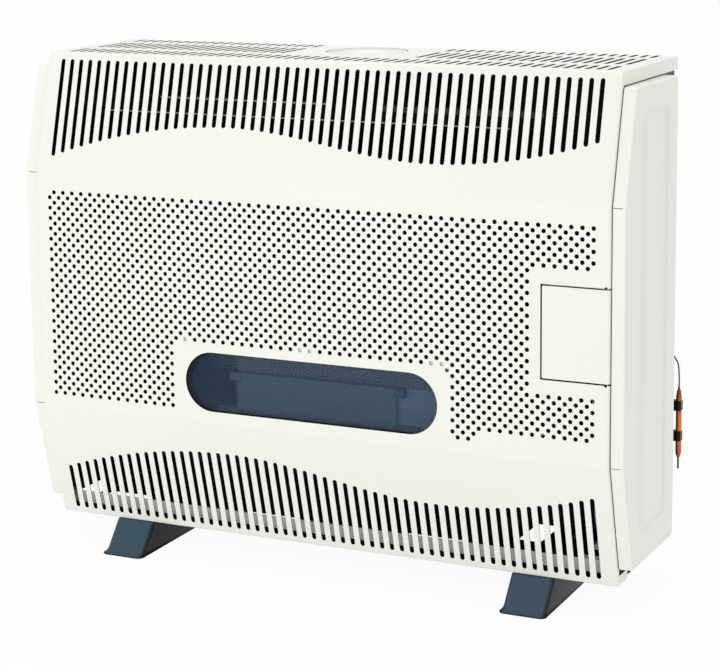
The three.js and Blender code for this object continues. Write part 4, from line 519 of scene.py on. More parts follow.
@dataclass(frozen=True)
class Fibre(Finish):
    """Woven ceramic fibre."""

    weave: Grain = Grain(900.0, 2.0, 0.5, (1.0, 1.0, 0.3))
    depth: float = 0.0002

    def dress(self, graph: ShaderGraph) -> None:
        """A coarse twisted weave.

        Args:
            graph: the material's graph.
        """
        weave = graph.noise(self.weave)
        graph.set(Base_Color=self.tones(graph, weave, 0.7, 1.0), Roughness=self.roughness)
        graph.bump(weave, self.depth)


@dataclass(frozen=True)
class Banded(Finish):
    """Sheet seen through the slots: painted light as pale bands in front of a plane, painted shade, near
    black, elsewhere.

    Each band holds its low and high end, its left and right end and its strength.
    """

    shade: Colour = (0.004, 0.004, 0.005)
    bands: tuple[tuple[float, ...], ...] = ()
    front: float = 0.0
    ripple: Grain = Grain(55.0, 2.0, 0.5, (1.0, 0.1, 0.1))
    specular: float = 0.05

    def dress(self, graph: ShaderGraph) -> None:
        """Pale bands of painted light with a ripple along them, on painted shade.

        Args:
            graph: the material's graph.
        """
        across, deep, height = (graph.along(axis) for axis in "XYZ")
        ripple = graph.noise(self.ripple)
        mask: Shade | float = 0.0
        for low, high, left, right, strength in self.bands:
            inside = height.above(low) * height.below(high) * (across.above(left) * across.below(right))
            mask = (inside * strength).larger(mask)
        share = mask * deep.below(self.front) * (ripple * 0.6 + 0.7)
        shaded = graph.blend(ripple, self.shade, scaled(self.shade, 2.0))
        graph.set(Base_Color=graph.blend(share, shaded, self.colour), Roughness=self.uneven(ripple, 0.1),
                  Specular_IOR_Level=self.specular)


@dataclass(frozen=True)
class Lit(Finish):
    """The chamber's front plate: bluish where the window lights it, dark elsewhere."""

    shade: Colour = (0.008, 0.012, 0.018)
    x: Point2 = (-122.0, 190.0)
    z: Point2 = (200.0, 300.0)
    soft: Point2 = (9.0, 3.0)
    band_z: float = 268.0
    band: float = 0.42
    lines: Grain = Grain(60.0, 2.0, 0.6, (0.1, 1.0, 3.0))
    specular: float = 0.06

    def dress(self, graph: ShaderGraph) -> None:
        """A soft sided patch of painted light behind the window, dimmer above band_z, with rolling lines;
        painted shade elsewhere.

        Args:
            graph: the material's graph.
        """
        lines = graph.noise(self.lines)
        mask: Shade | float = 1.0
        for axis, (low, high), soft in zip("XZ", (self.x, self.z), self.soft):
            where = graph.along(axis)
            mask = mask * where.ramp(low, low + soft) * where.ramp(high, high - soft)
        below = graph.along("Z").below(self.band_z) * (1.0 - self.band) + self.band
        graph.set(Base_Color=graph.blend(mask * below * (lines * 0.6 + 0.6), self.shade, self.colour),
                  Roughness=self.uneven(lines, 0.1), Specular_IOR_Level=self.specular)


@dataclass(frozen=True)
class Shell(Finish):
    """Back panel and side frames: enamelled outside; bare towards the inside, and near black there as painted
    shade.
    """

    # painted shade: near black inside the outer planes, where the case is dark
    inner: Colour = (0.008, 0.010, 0.012)
    rear: float = 126.2
    side: float = 397.7
    cloud: Grain = Grain(9.0, 4.0, 0.6)
    peel: Grain = Grain(480.0, 1.5, 0.4)
    peel_depth: float = 0.00005
    specular: float = 0.1

    def dress(self, graph: ShaderGraph) -> None:
        """Enamel beyond the outer planes, with cloudy patches and orange peel, and painted shade, near black,
        inside them.

        Args:
            graph: the material's graph.
        """
        cloud = graph.noise(self.cloud)
        outside = graph.along("Y").above(self.rear).larger(graph.along("X").size().above(self.side))
        graph.set(Base_Color=graph.blend(outside, self.inner, self.tones(graph, cloud, 0.9, 1.15)),
                  Specular_IOR_Level=self.specular, Roughness=self.uneven(cloud, 0.15))
        graph.bump(graph.noise(self.peel), self.peel_depth)


@dataclass(frozen=True)
class EndToned(Finish):
    """Soft copper, darker and browner towards its ends."""

    tint: Colour = (0.24, 0.052, 0.020)
    bright: Colour = (0.84, 0.26, 0.07)
    low: float = 150.0
    high: float = 252.0
    metallic: float = 0.85
    streak: Grain = Grain(160.0, 3.0, 0.6, (1.0, 1.0, 0.5))
    depth: float = 0.00005

    def dress(self, graph: ShaderGraph) -> None:
        """Darker, browner tints towards both ends along the height, with a streaky edge.

        Args:
            graph: the material's graph.
        """
        streak = graph.noise(self.streak)
        span = (self.high - self.low) * MM
        away = (graph.along("Z") - (self.low + self.high) / 2 * MM).size() * (2.0 / span)
        dark = graph.maths("SMOOTH_MIN", away ** 2.0 + (streak - 0.5) * 0.7, 1.0).larger(0.0)
        lively = graph.blend(streak, self.colour, self.bright)
        graph.set(Base_Color=graph.blend(dark, lively, self.tint), Metallic=self.metallic,
                  Roughness=self.uneven(streak, 0.2))
        graph.bump(streak, self.depth)


CREAM = Enamel("cream_enamel", "cream_enamel", linear(239, 240, 229), 0.4)
# painted shade: a slightly greener cream than the casing's, for the shade in the dish's hollow
BOWL_SHADE_ENAMEL = Enamel("dish_enamel", "cream_enamel", linear(236, 241, 226), 0.25, coat=0.5)
SLATE = FootEnamel("slate_enamel", "slate_enamel", linear(61, 83, 97), 0.24, coat=0.25, tint=0.12,
                   specular=0.05)
# painted light: a bluish lit patch behind the window, on near black painted shade
CHAMBER = Lit("chamber_enamel", "slate_enamel", linear(140, 164, 192), 0.6)
# partly the clips' bright zinc, partly painted highlight: near white and barely metallic for their glints
CLIP = Metal("clip_steel", "zinc_steel", linear(226, 230, 222), 0.5, metallic=0.1)
# painted light: the chamber glass clips get a lit copy of the slate enamel, the upper right one a dimmer copy
# for painted shade
TAB = Metal("tab_steel", "slate_enamel", linear(98, 116, 134), 0.5, metallic=0.0, specular=0.1)
TAB_SHADED = Metal("tab_steel_dim", "slate_enamel", linear(86, 103, 120), 0.5, metallic=0.0, specular=0.1)
SPIGOT = SootyBore("spigot_steel", "zinc_steel", linear(176, 180, 180), 0.34)
FRAME = Shell("slate_shell", "slate_enamel", linear(74, 88, 100), 0.45)
# dark steel made near black: its own dark colour with painted shade for the inside of the case
DARK_STEEL_SHADE = Metal("dark_steel", "dark_steel", linear(14, 15, 17), 0.7, metallic=0.0, specular=0.04)
# zinc steel made near black: soot on the flue parts, painted shade on the parts inside the case
SOOT_AND_SHADE = Metal("sooted_steel", "zinc_steel", linear(16, 17, 18), 0.7, metallic=0.0, specular=0.04)
# painted light: pale lit edges of the front rail seen through the slots, painted shade elsewhere
RAIL_EDGE = Banded("rail_steel", "zinc_steel", linear(206, 212, 200), 0.5, front=-78.6,
                   bands=((600.0, 601.6, -313.0, 255.0, 1.0), (620.2, 622.2, -235.0, 10.0, 0.8),
                          (615.0, 622.2, 85.0, 300.0, 0.12)))
# painted light on the base pan's lip seen through the lower slots, painted shade below it and elsewhere
PAN_LIP = Banded("pan_enamel", "cream_enamel", linear(250, 255, 250), 0.45, front=-77.0,
                 bands=((54.5, 71.0, -400.0, 400.0, 1.0),))
ZINC = Metal("zinc_steel", "zinc_steel", linear(176, 180, 180), 0.34)
ALLOY = Metal("bare_aluminium", "bare_aluminium", linear(180, 182, 180), 0.4)
BRASS = Metal("bare_brass", "bare_brass", linear(196, 158, 80), 0.3)
COPPER = EndToned("bare_copper", "bare_copper", linear(208, 80, 38), 0.27)
TUBE = Metal("drawn_copper", "bare_copper", linear(150, 86, 54), 0.4, bloom=Grain(30.0, 3.0, 0.55))
BLACK = Moulded("black_plastic", "black_plastic", linear(12, 13, 15), 0.42, specular=0.22)
RED = Moulded("red_plastic", "red_plastic", linear(168, 30, 24), 0.25, coat=0.3)
PORCELAIN = Moulded("white_porcelain", "white_porcelain", linear(232, 228, 218), 0.2, coat=0.4)
WINDOW_GLASS = Glazing("outer_glass", "outer_glass", linear(52, 72, 92), 0.05, alpha=0.3, border=38.1)
CHAMBER_GLASS = Glazing("inner_glass", "inner_glass", linear(112, 131, 150), 0.08, alpha=0.92, specular=0.1)
# the fibre's own pale colour, tinted blue as painted light like the lit patch on the chamber front
SEAL = Fibre("seal_fibre", "seal_fibre", linear(176, 190, 206), 0.9)
BY_SLOT = {finish.slot: finish for finish in (CREAM, SLATE, DARK_STEEL_SHADE, ZINC, ALLOY, BRASS, COPPER, BLACK, RED,
                                              PORCELAIN, WINDOW_GLASS, CHAMBER_GLASS, SEAL)}
OWN_FINISHES = (
    (RAIL_EDGE, "front_rail"), (PAN_LIP, "base_pan"), (CHAMBER, "chamber_front"),
    (FRAME, "back_panel side_frame_left side_frame_right"),
    (SOOT_AND_SHADE, "flue_box heat_shield chamber_leg_left chamber_leg_right viewing_glass_rail"),
    (CLIP, "viewing_glass_clip_left viewing_glass_clip_middle viewing_glass_clip_right"),
    (TAB, "chamber_glass_clip_lower_left chamber_glass_clip_lower_right chamber_glass_clip_upper_left"),
    (TAB_SHADED, "chamber_glass_clip_upper_right"))
BY_NODE = {node: finish for finish, nodes in OWN_FINISHES for node in nodes.split()}


# ------------------------------------------------------------------ outlines


def arc(centre: Point2, radius: float, start: float, end: float, steps: int) -> list[Point2]:
    """Points on an arc, one more than its spans; angles are in degrees."""
    angles = [math.radians(start + (end - start) * step / steps) for step in range(steps + 1)]
    return [(centre[0] + radius * math.cos(a), centre[1] + radius * math.sin(a)) for a in angles]


def circle(centre: Point2, radius: float, sides: int) -> list[Point2]:
    """A closed round outline."""
    return arc(centre, radius, 0, 360, sides)[:-1]


def quarter_turn(steps: int) -> list[Point2]:
    """The sine and cosine at even steps through a quarter turn."""
    angles = [math.pi / 2 * step / steps for step in range(steps + 1)]
    return [(math.sin(angle), math.cos(angle)) for angle in angles]


def round_rectangle(u: Point2, v: Point2, radius: float, steps: int = 6) -> list[Point2]:
    """A rectangle with round corners, anticlockwise from its right side.

    Args:
        u: low and high value along the first axis.
        v: low and high value along the second axis.
        radius: corner radius.
        steps: spans in each corner.

    Returns:
        The outline's points.
    """
    corners = [(u[1] - radius, v[1] - radius, 0), (u[0] + radius, v[1] - radius, 90),
               (u[0] + radius, v[0] + radius, 180), (u[1] - radius, v[0] + radius, 270)]
    return [point for x, y, turn in corners for point in arc((x, y), radius, turn, turn + 90, steps)]


def stadium(low: Point2, high: Point2, width: float, steps: int = 8) -> list[Point2]:
    """A slot with round ends, upright or lying.

    Args:
        low: outer end at the low side.
        high: outer end at the high side.
        width: the slot's width.
        steps: spans in each round end.

    Returns:
        The outline's points, anticlockwise.
    """
    radius = width / 2
    if abs(high[0] - low[0]) > abs(high[1] - low[1]):
        return (arc((high[0] - radius, high[1]), radius, -90, 90, steps)
                + arc((low[0] + radius, low[1]), radius, 90, 270, steps))
    return (arc((high[0], high[1] - radius), radius, 0, 180, steps)
            + arc((low[0], low[1] + radius), radius, 180, 360, steps))


def left_normal(start: Point2, end: Point2) -> Point2:
    """The unit normal to the left of a direction."""
    along = (Vector(end) - Vector(start)).normalized()
    return (-along.y, along.x)


def inset_polygon(points: Sequence[Point2], inset: float) -> list[Point2]:
    """A polygon with every side moved inwards.

    Args:
        points: the corners, anticlockwise.
        inset: how far the sides move.

    Returns:
        The new corners.
    """
    found = []
    for before, here, after in zip([points[-1], *points], points, [*points[1:], points[0]]):
        ahead = Vector(left_normal(here, after))
        middle = (Vector(left_normal(before, here)) + ahead).normalized()
        found.append(tuple(Vector(here) + middle * (inset / max(middle.dot(ahead), 0.2))))
    return found


def round_corner(before: Point2, corner: Point2, after: Point2, radius: float, steps: int) -> list[Point2]:
    """The arc that rounds a corner.

    Args:
        before: a point on the side that leads to the corner.
        corner: the sharp corner.
        after: a point on the side that leads away.
        radius: the arc's radius.
        steps: its spans.

    Returns:
        steps + 1 points, from the first side to the second.
    """
    here = Vector(corner)
    back, ahead = ((Vector(point) - here).normalized() for point in (before, after))
    half = back.angle(ahead) / 2
    centre = here + (back + ahead).normalized() * (radius / math.sin(half))
    first, last = (here + way * (radius / math.tan(half)) - centre for way in (back, ahead))
    sweep = first.angle_signed(last)
    return [tuple(centre + Matrix.Rotation(-sweep * step / steps, 2) @ first) for step in range(steps + 1)]


def fillet(points: Sequence[Point2], radii: Sequence[float], steps: int = 4) -> list[Point2]:
    """A polygon with round corners, each with the same number of points.

    Args:
        points: the corners.
        radii: each corner's radius; 0 keeps one point.
        steps: spans in a round corner.

    Returns:
        The outline.
    """
    found: list[Point2] = []
    for before, here, after, radius in zip([points[-1], *points], points, [*points[1:], points[0]], radii):
        found.extend(round_corner(before, here, after, radius, steps) if radius > 0 else [here])
    return found


def smooth(share: float) -> float:
    """A soft step from 0 to 1."""
    share = min(max(share, 0.0), 1.0)
    return share * share * (3 - 2 * share)


def smooth_path(knots: Sequence[Point3], steps: int) -> list[Point3]:
    """A smooth path through points.

    Args:
        knots: the points.
        steps: spans between two of them.

    Returns:
        The path.
    """
    found = []
    points = [Vector(knot) for knot in knots]
    for before, start, end, after in zip([points[0], *points], points, points[1:], [*points[2:], points[-1]]):
        for t in (step / steps for step in range(steps)):
            found.append(tuple(0.5 * (2 * start + (end - before) * t
                                      + (2 * before - 5 * start + 4 * end - after) * t ** 2
                                      + (3 * start - before - 3 * end + after) * t ** 3)))
    return found + [tuple(points[-1])]


@dataclass
class Fold:
    """A folded sheet's side profile: straight runs joined by round bends, outer side on the left."""

    corners: list[Point2]
    radius: float
    steps: int = 6
    runs: list[Line] = field(default_factory=list)
    bends: list[list[Point2]] = field(default_factory=list)

    def __post_init__(self) -> None:
        """Works out the runs and the bends."""
        start = self.corners[0]
        for before, corner, after in zip(self.corners, self.corners[1:], self.corners[2:]):
            bend = round_corner(before, corner, after, self.radius, self.steps)
            self.runs.append((start, bend[0]))
            self.bends.append(bend)
            start = bend[-1]
        self.runs.append((start, self.corners[-1]))

    def stations(self, extra: Sequence[float], run: int) -> list[Line]:
        """Every point of the profile with its outward normal.

        Args:
            extra: more heights at which one run gets a point.
            run: that run's number.

        Returns:
            Pairs of point and normal, in order.
        """
        found: list[Line] = []
        for index, (start, end) in enumerate(self.runs):
            normal = left_normal(start, end)
            found.append((start, normal))
            if index == run:
                for height in extra:
                    share = (height - start[1]) / (end[1] - start[1])
                    found.append(((start[0] + (end[0] - start[0]) * share, height), normal))
            found.append((end, normal))
            if index < len(self.bends):
                bend = self.bends[index]
                after = left_normal(*self.runs[index + 1])
                for step in range(1, len(bend) - 1):
                    mixed = Vector(normal).slerp(Vector(after), step / (len(bend) - 1))
                    found.append((bend[step], tuple(mixed)))
        return found


# ------------------------------------------------------------------ meshes


class Axis(Enum):
    """An axis that something is turned about or faces along."""

    X = 0
    Y = 1
    Z = 2

    def place(self, u: float, v: float, along: float) -> Point3:
        """A point from two coordinates across the axis and one along it."""
        return {Axis.X: (along, u, v), Axis.Y: (u, along, v), Axis.Z: (u, v, along)}[self]

    def plane(self, along: float) -> Matrix:
        """Places a flat sheet across the axis, facing along it (for Y against it)."""
        rows = {Axis.X: ((0, 0, 1, along), (1, 0, 0, 0), (0, 1, 0, 0)),
                Axis.Y: ((1, 0, 0, 0), (0, 0, -1, along), (0, 1, 0, 0)),
                Axis.Z: ((1, 0, 0, 0), (0, 1, 0, 0), (0, 0, 1, along))}[self]
        return Matrix((*rows, (0, 0, 0, 1)))


class Draft:
    """A mesh in the making, in millimetres; most methods give the draft back."""

    def __init__(self) -> None:
        """Starts empty."""
        self.mesh = bmesh.new()

    def quads(self, rows: Sequence[Sequence[Point3]], around: bool = False,
              skip: Callable[[int, int], bool] | None = None) -> "Draft":
        """Adds a grid of faces between rows of points.

        Args:
            rows: equally long rows.
            around: whether each row closes on itself.
            skip: says which cells stay open, from row and column.

        Returns:
            The draft.
        """
        made = [[self.mesh.verts.new(point) for point in row] for row in rows]
        count = len(rows[0])
        for r in range(len(rows) - 1):
            for c in range(count if around else count - 1):
                n = (c + 1) % count
                if not (skip and skip(r, c)):
                    self.mesh.faces.new([made[r][c], made[r][n], made[r + 1][n], made[r + 1][c]])
        return self

    def face(self, points: Sequence[Point3]) -> None:
        """Adds one flat polygon, split into triangles.

        Args:
            points: its corners.
        """
        made = [self.mesh.verts.new(point) for point in points]
        for triangle in tessellate_polygon([[Vector(point) for point in points]]):
            self.mesh.faces.new([made[index] for index in triangle])

    def add(self, mesh: bpy.types.Mesh, placing: Matrix) -> "Draft":
        """Adds a placed copy of a mesh and removes the original.

        Args:
            mesh: the mesh.
            placing: where it goes.

        Returns:
            The draft.
        """
        mesh.transform(placing)
        self.mesh.from_mesh(mesh)
        bpy.data.meshes.remove(mesh)
        return self

    def data(self, name: str) -> bpy.types.Mesh:
        """The draft as mesh data; the draft is used up.

        Args:
            name: the data's name.

        Returns:
            The data.
        """
        made = bpy.data.meshes.new(name)
        self.mesh.to_mesh(made)
        self.mesh.free()
        return made

    def turned(self, axis: Axis, centre: Point2, profile: Sequence[Point2], sides: int) -> "Draft":
        """Adds a turned shape.

        Args:
            axis: the axis it turns about.
            centre: where the axis stands, in the plane across it.
            profile: pairs of radius and place along the axis.
            sides: number of sides.

        Returns:
            The draft.
        """
        turns = [2 * math.pi * step / sides for step in range(sides)]
        return self.quads([[axis.place(centre[0] + radius * math.cos(turn),
                                       centre[1] + radius * math.sin(turn), along) for turn in turns]
                           for radius, along in profile], around=True)

    def tube(self, path: Sequence[Point3], radius: float, sides: int) -> "Draft":
        """Adds a round tube with closed ends along a path.

        Args:
            path: its points.
            radius: its radius.
            sides: number of sides.

        Returns:
            The draft.
        """
        points = [Vector(point) for point in path]
        turns = [2 * math.pi * step / sides for step in range(sides)]
        across = Vector((0.0, 1.0, 0.0))
        rows = []
        for before, point, after in zip([points[0], *points], points, [*points[1:], points[-1]]):
            ahead = (after - before).normalized()
            across = (across - ahead * across.dot(ahead)).normalized()
            beside = ahead.cross(across)
            rows.append([tuple(point + (across * math.cos(turn) + beside * math.sin(turn)) * radius)
                         for turn in turns])
        return self.quads([[path[0]] * sides, *rows, [path[-1]] * sides], around=True)

    def weld(self, distance: float) -> None:
        """Merges points that meet and drops faces without area."""
        bmesh.ops.remove_doubles(self.mesh, verts=self.mesh.verts[:], dist=distance)
        bmesh.ops.dissolve_degenerate(self.mesh, edges=self.mesh.edges[:], dist=distance / 10)

    def flipped(self) -> "Draft":
        """The draft with all faces turned over."""
        bmesh.ops.reverse_faces(self.mesh, faces=self.mesh.faces[:])
        return self

    def outward(self, side: Point3 = FORWARD) -> "Draft":
        """Turns all faces outwards.

        Args:
            side: a direction in which the outermost face looks.

        Returns:
            The draft.
        """
        bmesh.ops.recalc_face_normals(self.mesh, faces=self.mesh.faces[:])
        way = Vector(side)
        outermost = max(self.mesh.faces,
                        key=lambda face: face.calc_center_median().dot(way) + 0.001 * face.calc_area())
        return self.flipped() if outermost.normal.dot(way) < 0 else self

    def closed(self, side: Point3 = FORWARD, distance: float = 0.02) -> "Draft":
        """The draft welded and with its faces turned outwards."""
        self.weld(distance)
        return self.outward(side)

    def mirrored(self) -> "Draft":
        """The draft mirrored, left for right."""
        bmesh.ops.transform(self.mesh, matrix=Matrix.Scale(-1, 4, (1, 0, 0)), verts=self.mesh.verts[:])
        return self.flipped()

    def object(self, name: str, finish: Finish) -> bpy.types.Object:
        """The draft as an object in metres.

        Args:
            name: the piece's name.
            finish: its finish.

        Returns:
            The object, at the origin.
        """
        bmesh.ops.transform(self.mesh, matrix=Matrix.Scale(MM, 4), verts=self.mesh.verts[:])
        made = placed(name, self.data(name))
        made.data.materials.append(finish.material())
        return made

    def piece(self, name: str, finish: Finish, body: Body, *nodes: str, wall: float = 0.0, bevel: float = 0.0,
              sharp: float = 32.0, shaded_inside: bool = False) -> None:
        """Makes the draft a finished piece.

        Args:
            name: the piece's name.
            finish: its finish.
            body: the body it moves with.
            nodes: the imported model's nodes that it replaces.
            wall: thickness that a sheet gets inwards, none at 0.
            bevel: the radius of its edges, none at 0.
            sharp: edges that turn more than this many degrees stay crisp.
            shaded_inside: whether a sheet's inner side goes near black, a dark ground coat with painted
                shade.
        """
        made = self.object(name, finish)
        if wall:
            adjust(made.modifiers.new("wall", "SOLIDIFY"), thickness=wall * MM, offset=-1.0,
                   use_even_offset=True)
        if bevel:
            adjust(made.modifiers.new("edge", "BEVEL"), width=bevel * MM, segments=2, limit_method="ANGLE",
                   angle_limit=math.radians(50.0))
        dressed(settle(made, sharp, shaded_inside), body, finish, *nodes)


def settle(piece: bpy.types.Object, sharp: float = 32.0, shaded_inside: bool = False) -> bpy.types.Object:
    """Turns a piece's modifiers into mesh and shades it.

    Args:
        piece: the object.
        sharp: edges that turn more than this many degrees stay crisp.
        shaded_inside: whether the inner side of a thickened sheet is marked to go near black, a dark ground
            coat with painted shade.

    Returns:
        The same object with a plain mesh.
    """
    count = len(piece.data.polygons)
    if piece.modifiers:
        old, piece.data = piece.data, baked(piece)
        piece.modifiers.clear()
        piece.data.name = piece.name
        bpy.data.meshes.remove(old)
    for polygon in piece.data.polygons:
        polygon.use_smooth = True
    piece.data.set_sharp_from_angle(angle=math.radians(sharp))
    # painted shade: the inner faces and the walls of holes are marked to go near black
    if shaded_inside:
        mark_shaded_faces(piece, [index >= count for index in range(len(piece.data.polygons))])
    return piece


def mark_shaded_faces(piece: bpy.types.Object, marks: Sequence[bool]) -> None:
    """Stores which faces go near black: a dark ground coat with painted shade."""
    mark = piece.data.attributes.new(INNER_SIDE, "FLOAT", "FACE")
    mark.data.foreach_set("value", [float(inner) for inner in marks])


def dressed(piece: bpy.types.Object, body: Body, finish: Finish, *nodes: str) -> None:
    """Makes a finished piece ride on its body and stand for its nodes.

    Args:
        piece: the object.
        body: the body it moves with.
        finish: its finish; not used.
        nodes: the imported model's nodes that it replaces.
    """
    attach(piece, body.value)
    if nodes:
        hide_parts(*nodes)
    LOG.info("%s: %d faces", piece.name, len(piece.data.polygons))


# ------------------------------------------------------------------ geometry node trees


class NodeTree(Graph):
    """A geometry node tree with named inputs."""

    def __init__(self, name: str, inputs: dict[str, str]) -> None:
        """Starts the tree.

        Args:
            name: its name.
            inputs: kinds of socket by name; Geometry comes first by itself.
        """
        super().__init__(bpy.data.node_groups.new(name, "GeometryNodeTree"))
        for label, kind in (("Geometry", "Geometry"), *inputs.items()):
            self.tree.interface.new_socket(label, in_out="INPUT", socket_type=f"NodeSocket{kind}")
        self.tree.interface.new_socket("Geometry", in_out="OUTPUT", socket_type="NodeSocketGeometry")
        self.given = self.add("NodeGroupInput").outputs

    def finish(self, geometry: Any) -> None:
        """Ends the tree in Realize Instances and Set Material."""
        real = self.node("GeometryNodeRealizeInstances", None, {"Geometry": geometry})
        self.add("NodeGroupOutput", None, {0: self.node(
            "GeometryNodeSetMaterial", None, {"Geometry": real, "Material": self.given["Finish"]})})

    def run(self, mesh: bpy.types.Mesh, values: dict[str, Any]) -> bpy.types.Mesh:
        """Runs the tree on a mesh.

        Args:
            mesh: the input mesh, used up.
            values: input values by name.

        Returns:
            A plain mesh.
        """
        holder = placed("holder", mesh)
        modifier = adjust(holder.modifiers.new("nodes", "NODES"), node_group=self.tree)
        for item in self.tree.interface.items_tree:
            if item.item_type == "SOCKET" and item.in_out == "INPUT" and item.name in values:
                modifier[item.identifier] = values[item.name]
        holder.update_tag()
        made = baked(holder)
        bpy.data.objects.remove(holder)
        bpy.data.meshes.remove(mesh)
        return made


def punched_tree() -> NodeTree:
    """The tree that punches a flat sheet: loops are outlines, loose points are round holes.

    Returns:
        The tree.
    """
    tree = NodeTree("punched_sheet", {"Hole Radius": "Float", "Hole Corners": "Int", "Finish": "Material"})
    given = tree.given
    outlines = tree.node("GeometryNodeMeshToCurve", None, {"Mesh": given["Geometry"]})
    neighbours = tree.node("GeometryNodeInputMeshVertexNeighbors", output="Vertex Count")
    loose = tree.node("FunctionNodeCompare", {"data_type": "INT", "operation": "EQUAL"},
                      {2: neighbours, 3: 0})
    places = tree.node("GeometryNodeMeshToPoints", {"mode": "VERTICES"},
                       {"Mesh": given["Geometry"], "Selection": loose})
    ring = tree.node("GeometryNodeCurvePrimitiveCircle", {"mode": "RADIUS"},
                     {"Resolution": given["Hole Corners"], "Radius": given["Hole Radius"]})
    holes = tree.node("GeometryNodeInstanceOnPoints", None, {"Points": places, "Instance": ring})
    real = tree.node("GeometryNodeRealizeInstances", None, {"Geometry": holes})
    together = tree.node("GeometryNodeJoinGeometry", None, {0: [outlines, real]})
    tree.finish(tree.node("GeometryNodeFillCurve", None, {0: together}))
    return tree


def copies_tree() -> NodeTree:
    """The tree that sets copies of a small object on points, turned by a stored angle.

    Returns:
        The tree.
    """
    tree = NodeTree("copies_on_points", {"Copy": "Object", "Finish": "Material"})
    copy = tree.node("GeometryNodeObjectInfo", {"transform_space": "ORIGINAL"},
                     {"Object": tree.given["Copy"]}, output="Geometry")
    turn = tree.node("GeometryNodeInputNamedAttribute", {"data_type": "FLOAT_VECTOR"}, {"Name": "turn"},
                     output="Attribute")
    spin = tree.node("FunctionNodeEulerToRotation", None, {0: turn})
    places = tree.node("GeometryNodeMeshToPoints", {"mode": "VERTICES"}, {"Mesh": tree.given["Geometry"]})
    tree.finish(tree.node("GeometryNodeInstanceOnPoints", None,
                          {"Points": places, "Instance": copy, "Rotation": spin}))
    return tree


class Workshop:
    """The node trees, each built once."""

    def __init__(self) -> None:
        """Builds the trees."""
        self.punched = punched_tree()
        self.copies = copies_tree()

    def sheet(self, *outlines: Sequence[Point2], dots: Sequence[Point2] = (), radius: float = 1.0,
              corners: int = 14) -> bpy.types.Mesh:
        """A flat punched sheet in the plane z = 0, facing up.

        Args:
            outlines: the sheet's edge and its openings.
            dots: centres of round holes.
            radius: their radius.
            corners: their number of sides.

        Returns:
            A mesh of triangles.
        """
        points: list[Point2] = []
        edges: list[tuple[int, int]] = []
        for outline in outlines:
            first, count = len(points), len(outline)
            points.extend(outline)
            edges.extend((first + step, first + (step + 1) % count) for step in range(count))
        flat = bpy.data.meshes.new("flat")
        flat.from_pydata([(u, v, 0.0) for u, v in (*points, *dots)], edges, [])
        made = self.punched.run(flat, {"Hole Radius": radius, "Hole Corners": corners,
                                       "Finish": CREAM.material()})
        if made.polygons[0].normal.z < 0:
            made.flip_normals()
        return made

    def plate(self, placing: Matrix, *outlines: Sequence[Point2]) -> Draft:
        """A draft of a flat sheet with openings, placed."""
        return Draft().add(self.sheet(*outlines), placing)

    def scatter(self, name: str, copy: bpy.types.Object, places: Iterable[tuple[Point3, Point3]],
                finish: Finish) -> bpy.types.Object:
        """Copies of an object on points.

        Args:
            name: the piece's name.
            copy: the object that is repeated, used up.
            places: position in millimetres and turn of each copy.
            finish: the copies' finish.

        Returns:
            One object with all copies.
        """
        spots, angles = zip(*places)
        points = bpy.data.meshes.new("points")
        points.from_pydata([tuple(value * MM for value in spot) for spot in spots], [], [])
        turns = points.attributes.new("turn", "FLOAT_VECTOR", "POINT")
        turns.data.foreach_set("vector", [value for angle in angles for value in angle])
        made = self.copies.run(points, {"Copy": copy, "Finish": finish.material()})
        bpy.data.objects.remove(copy)
        made.name = name
        return placed(name, made)


# ------------------------------------------------------------------ casing


class Run(int, Enum):
    """The straight runs of the casing's profile, by number."""

    LOWER = 1
    MIDDLE = 2
    UPPER = 3
    TOP = 4


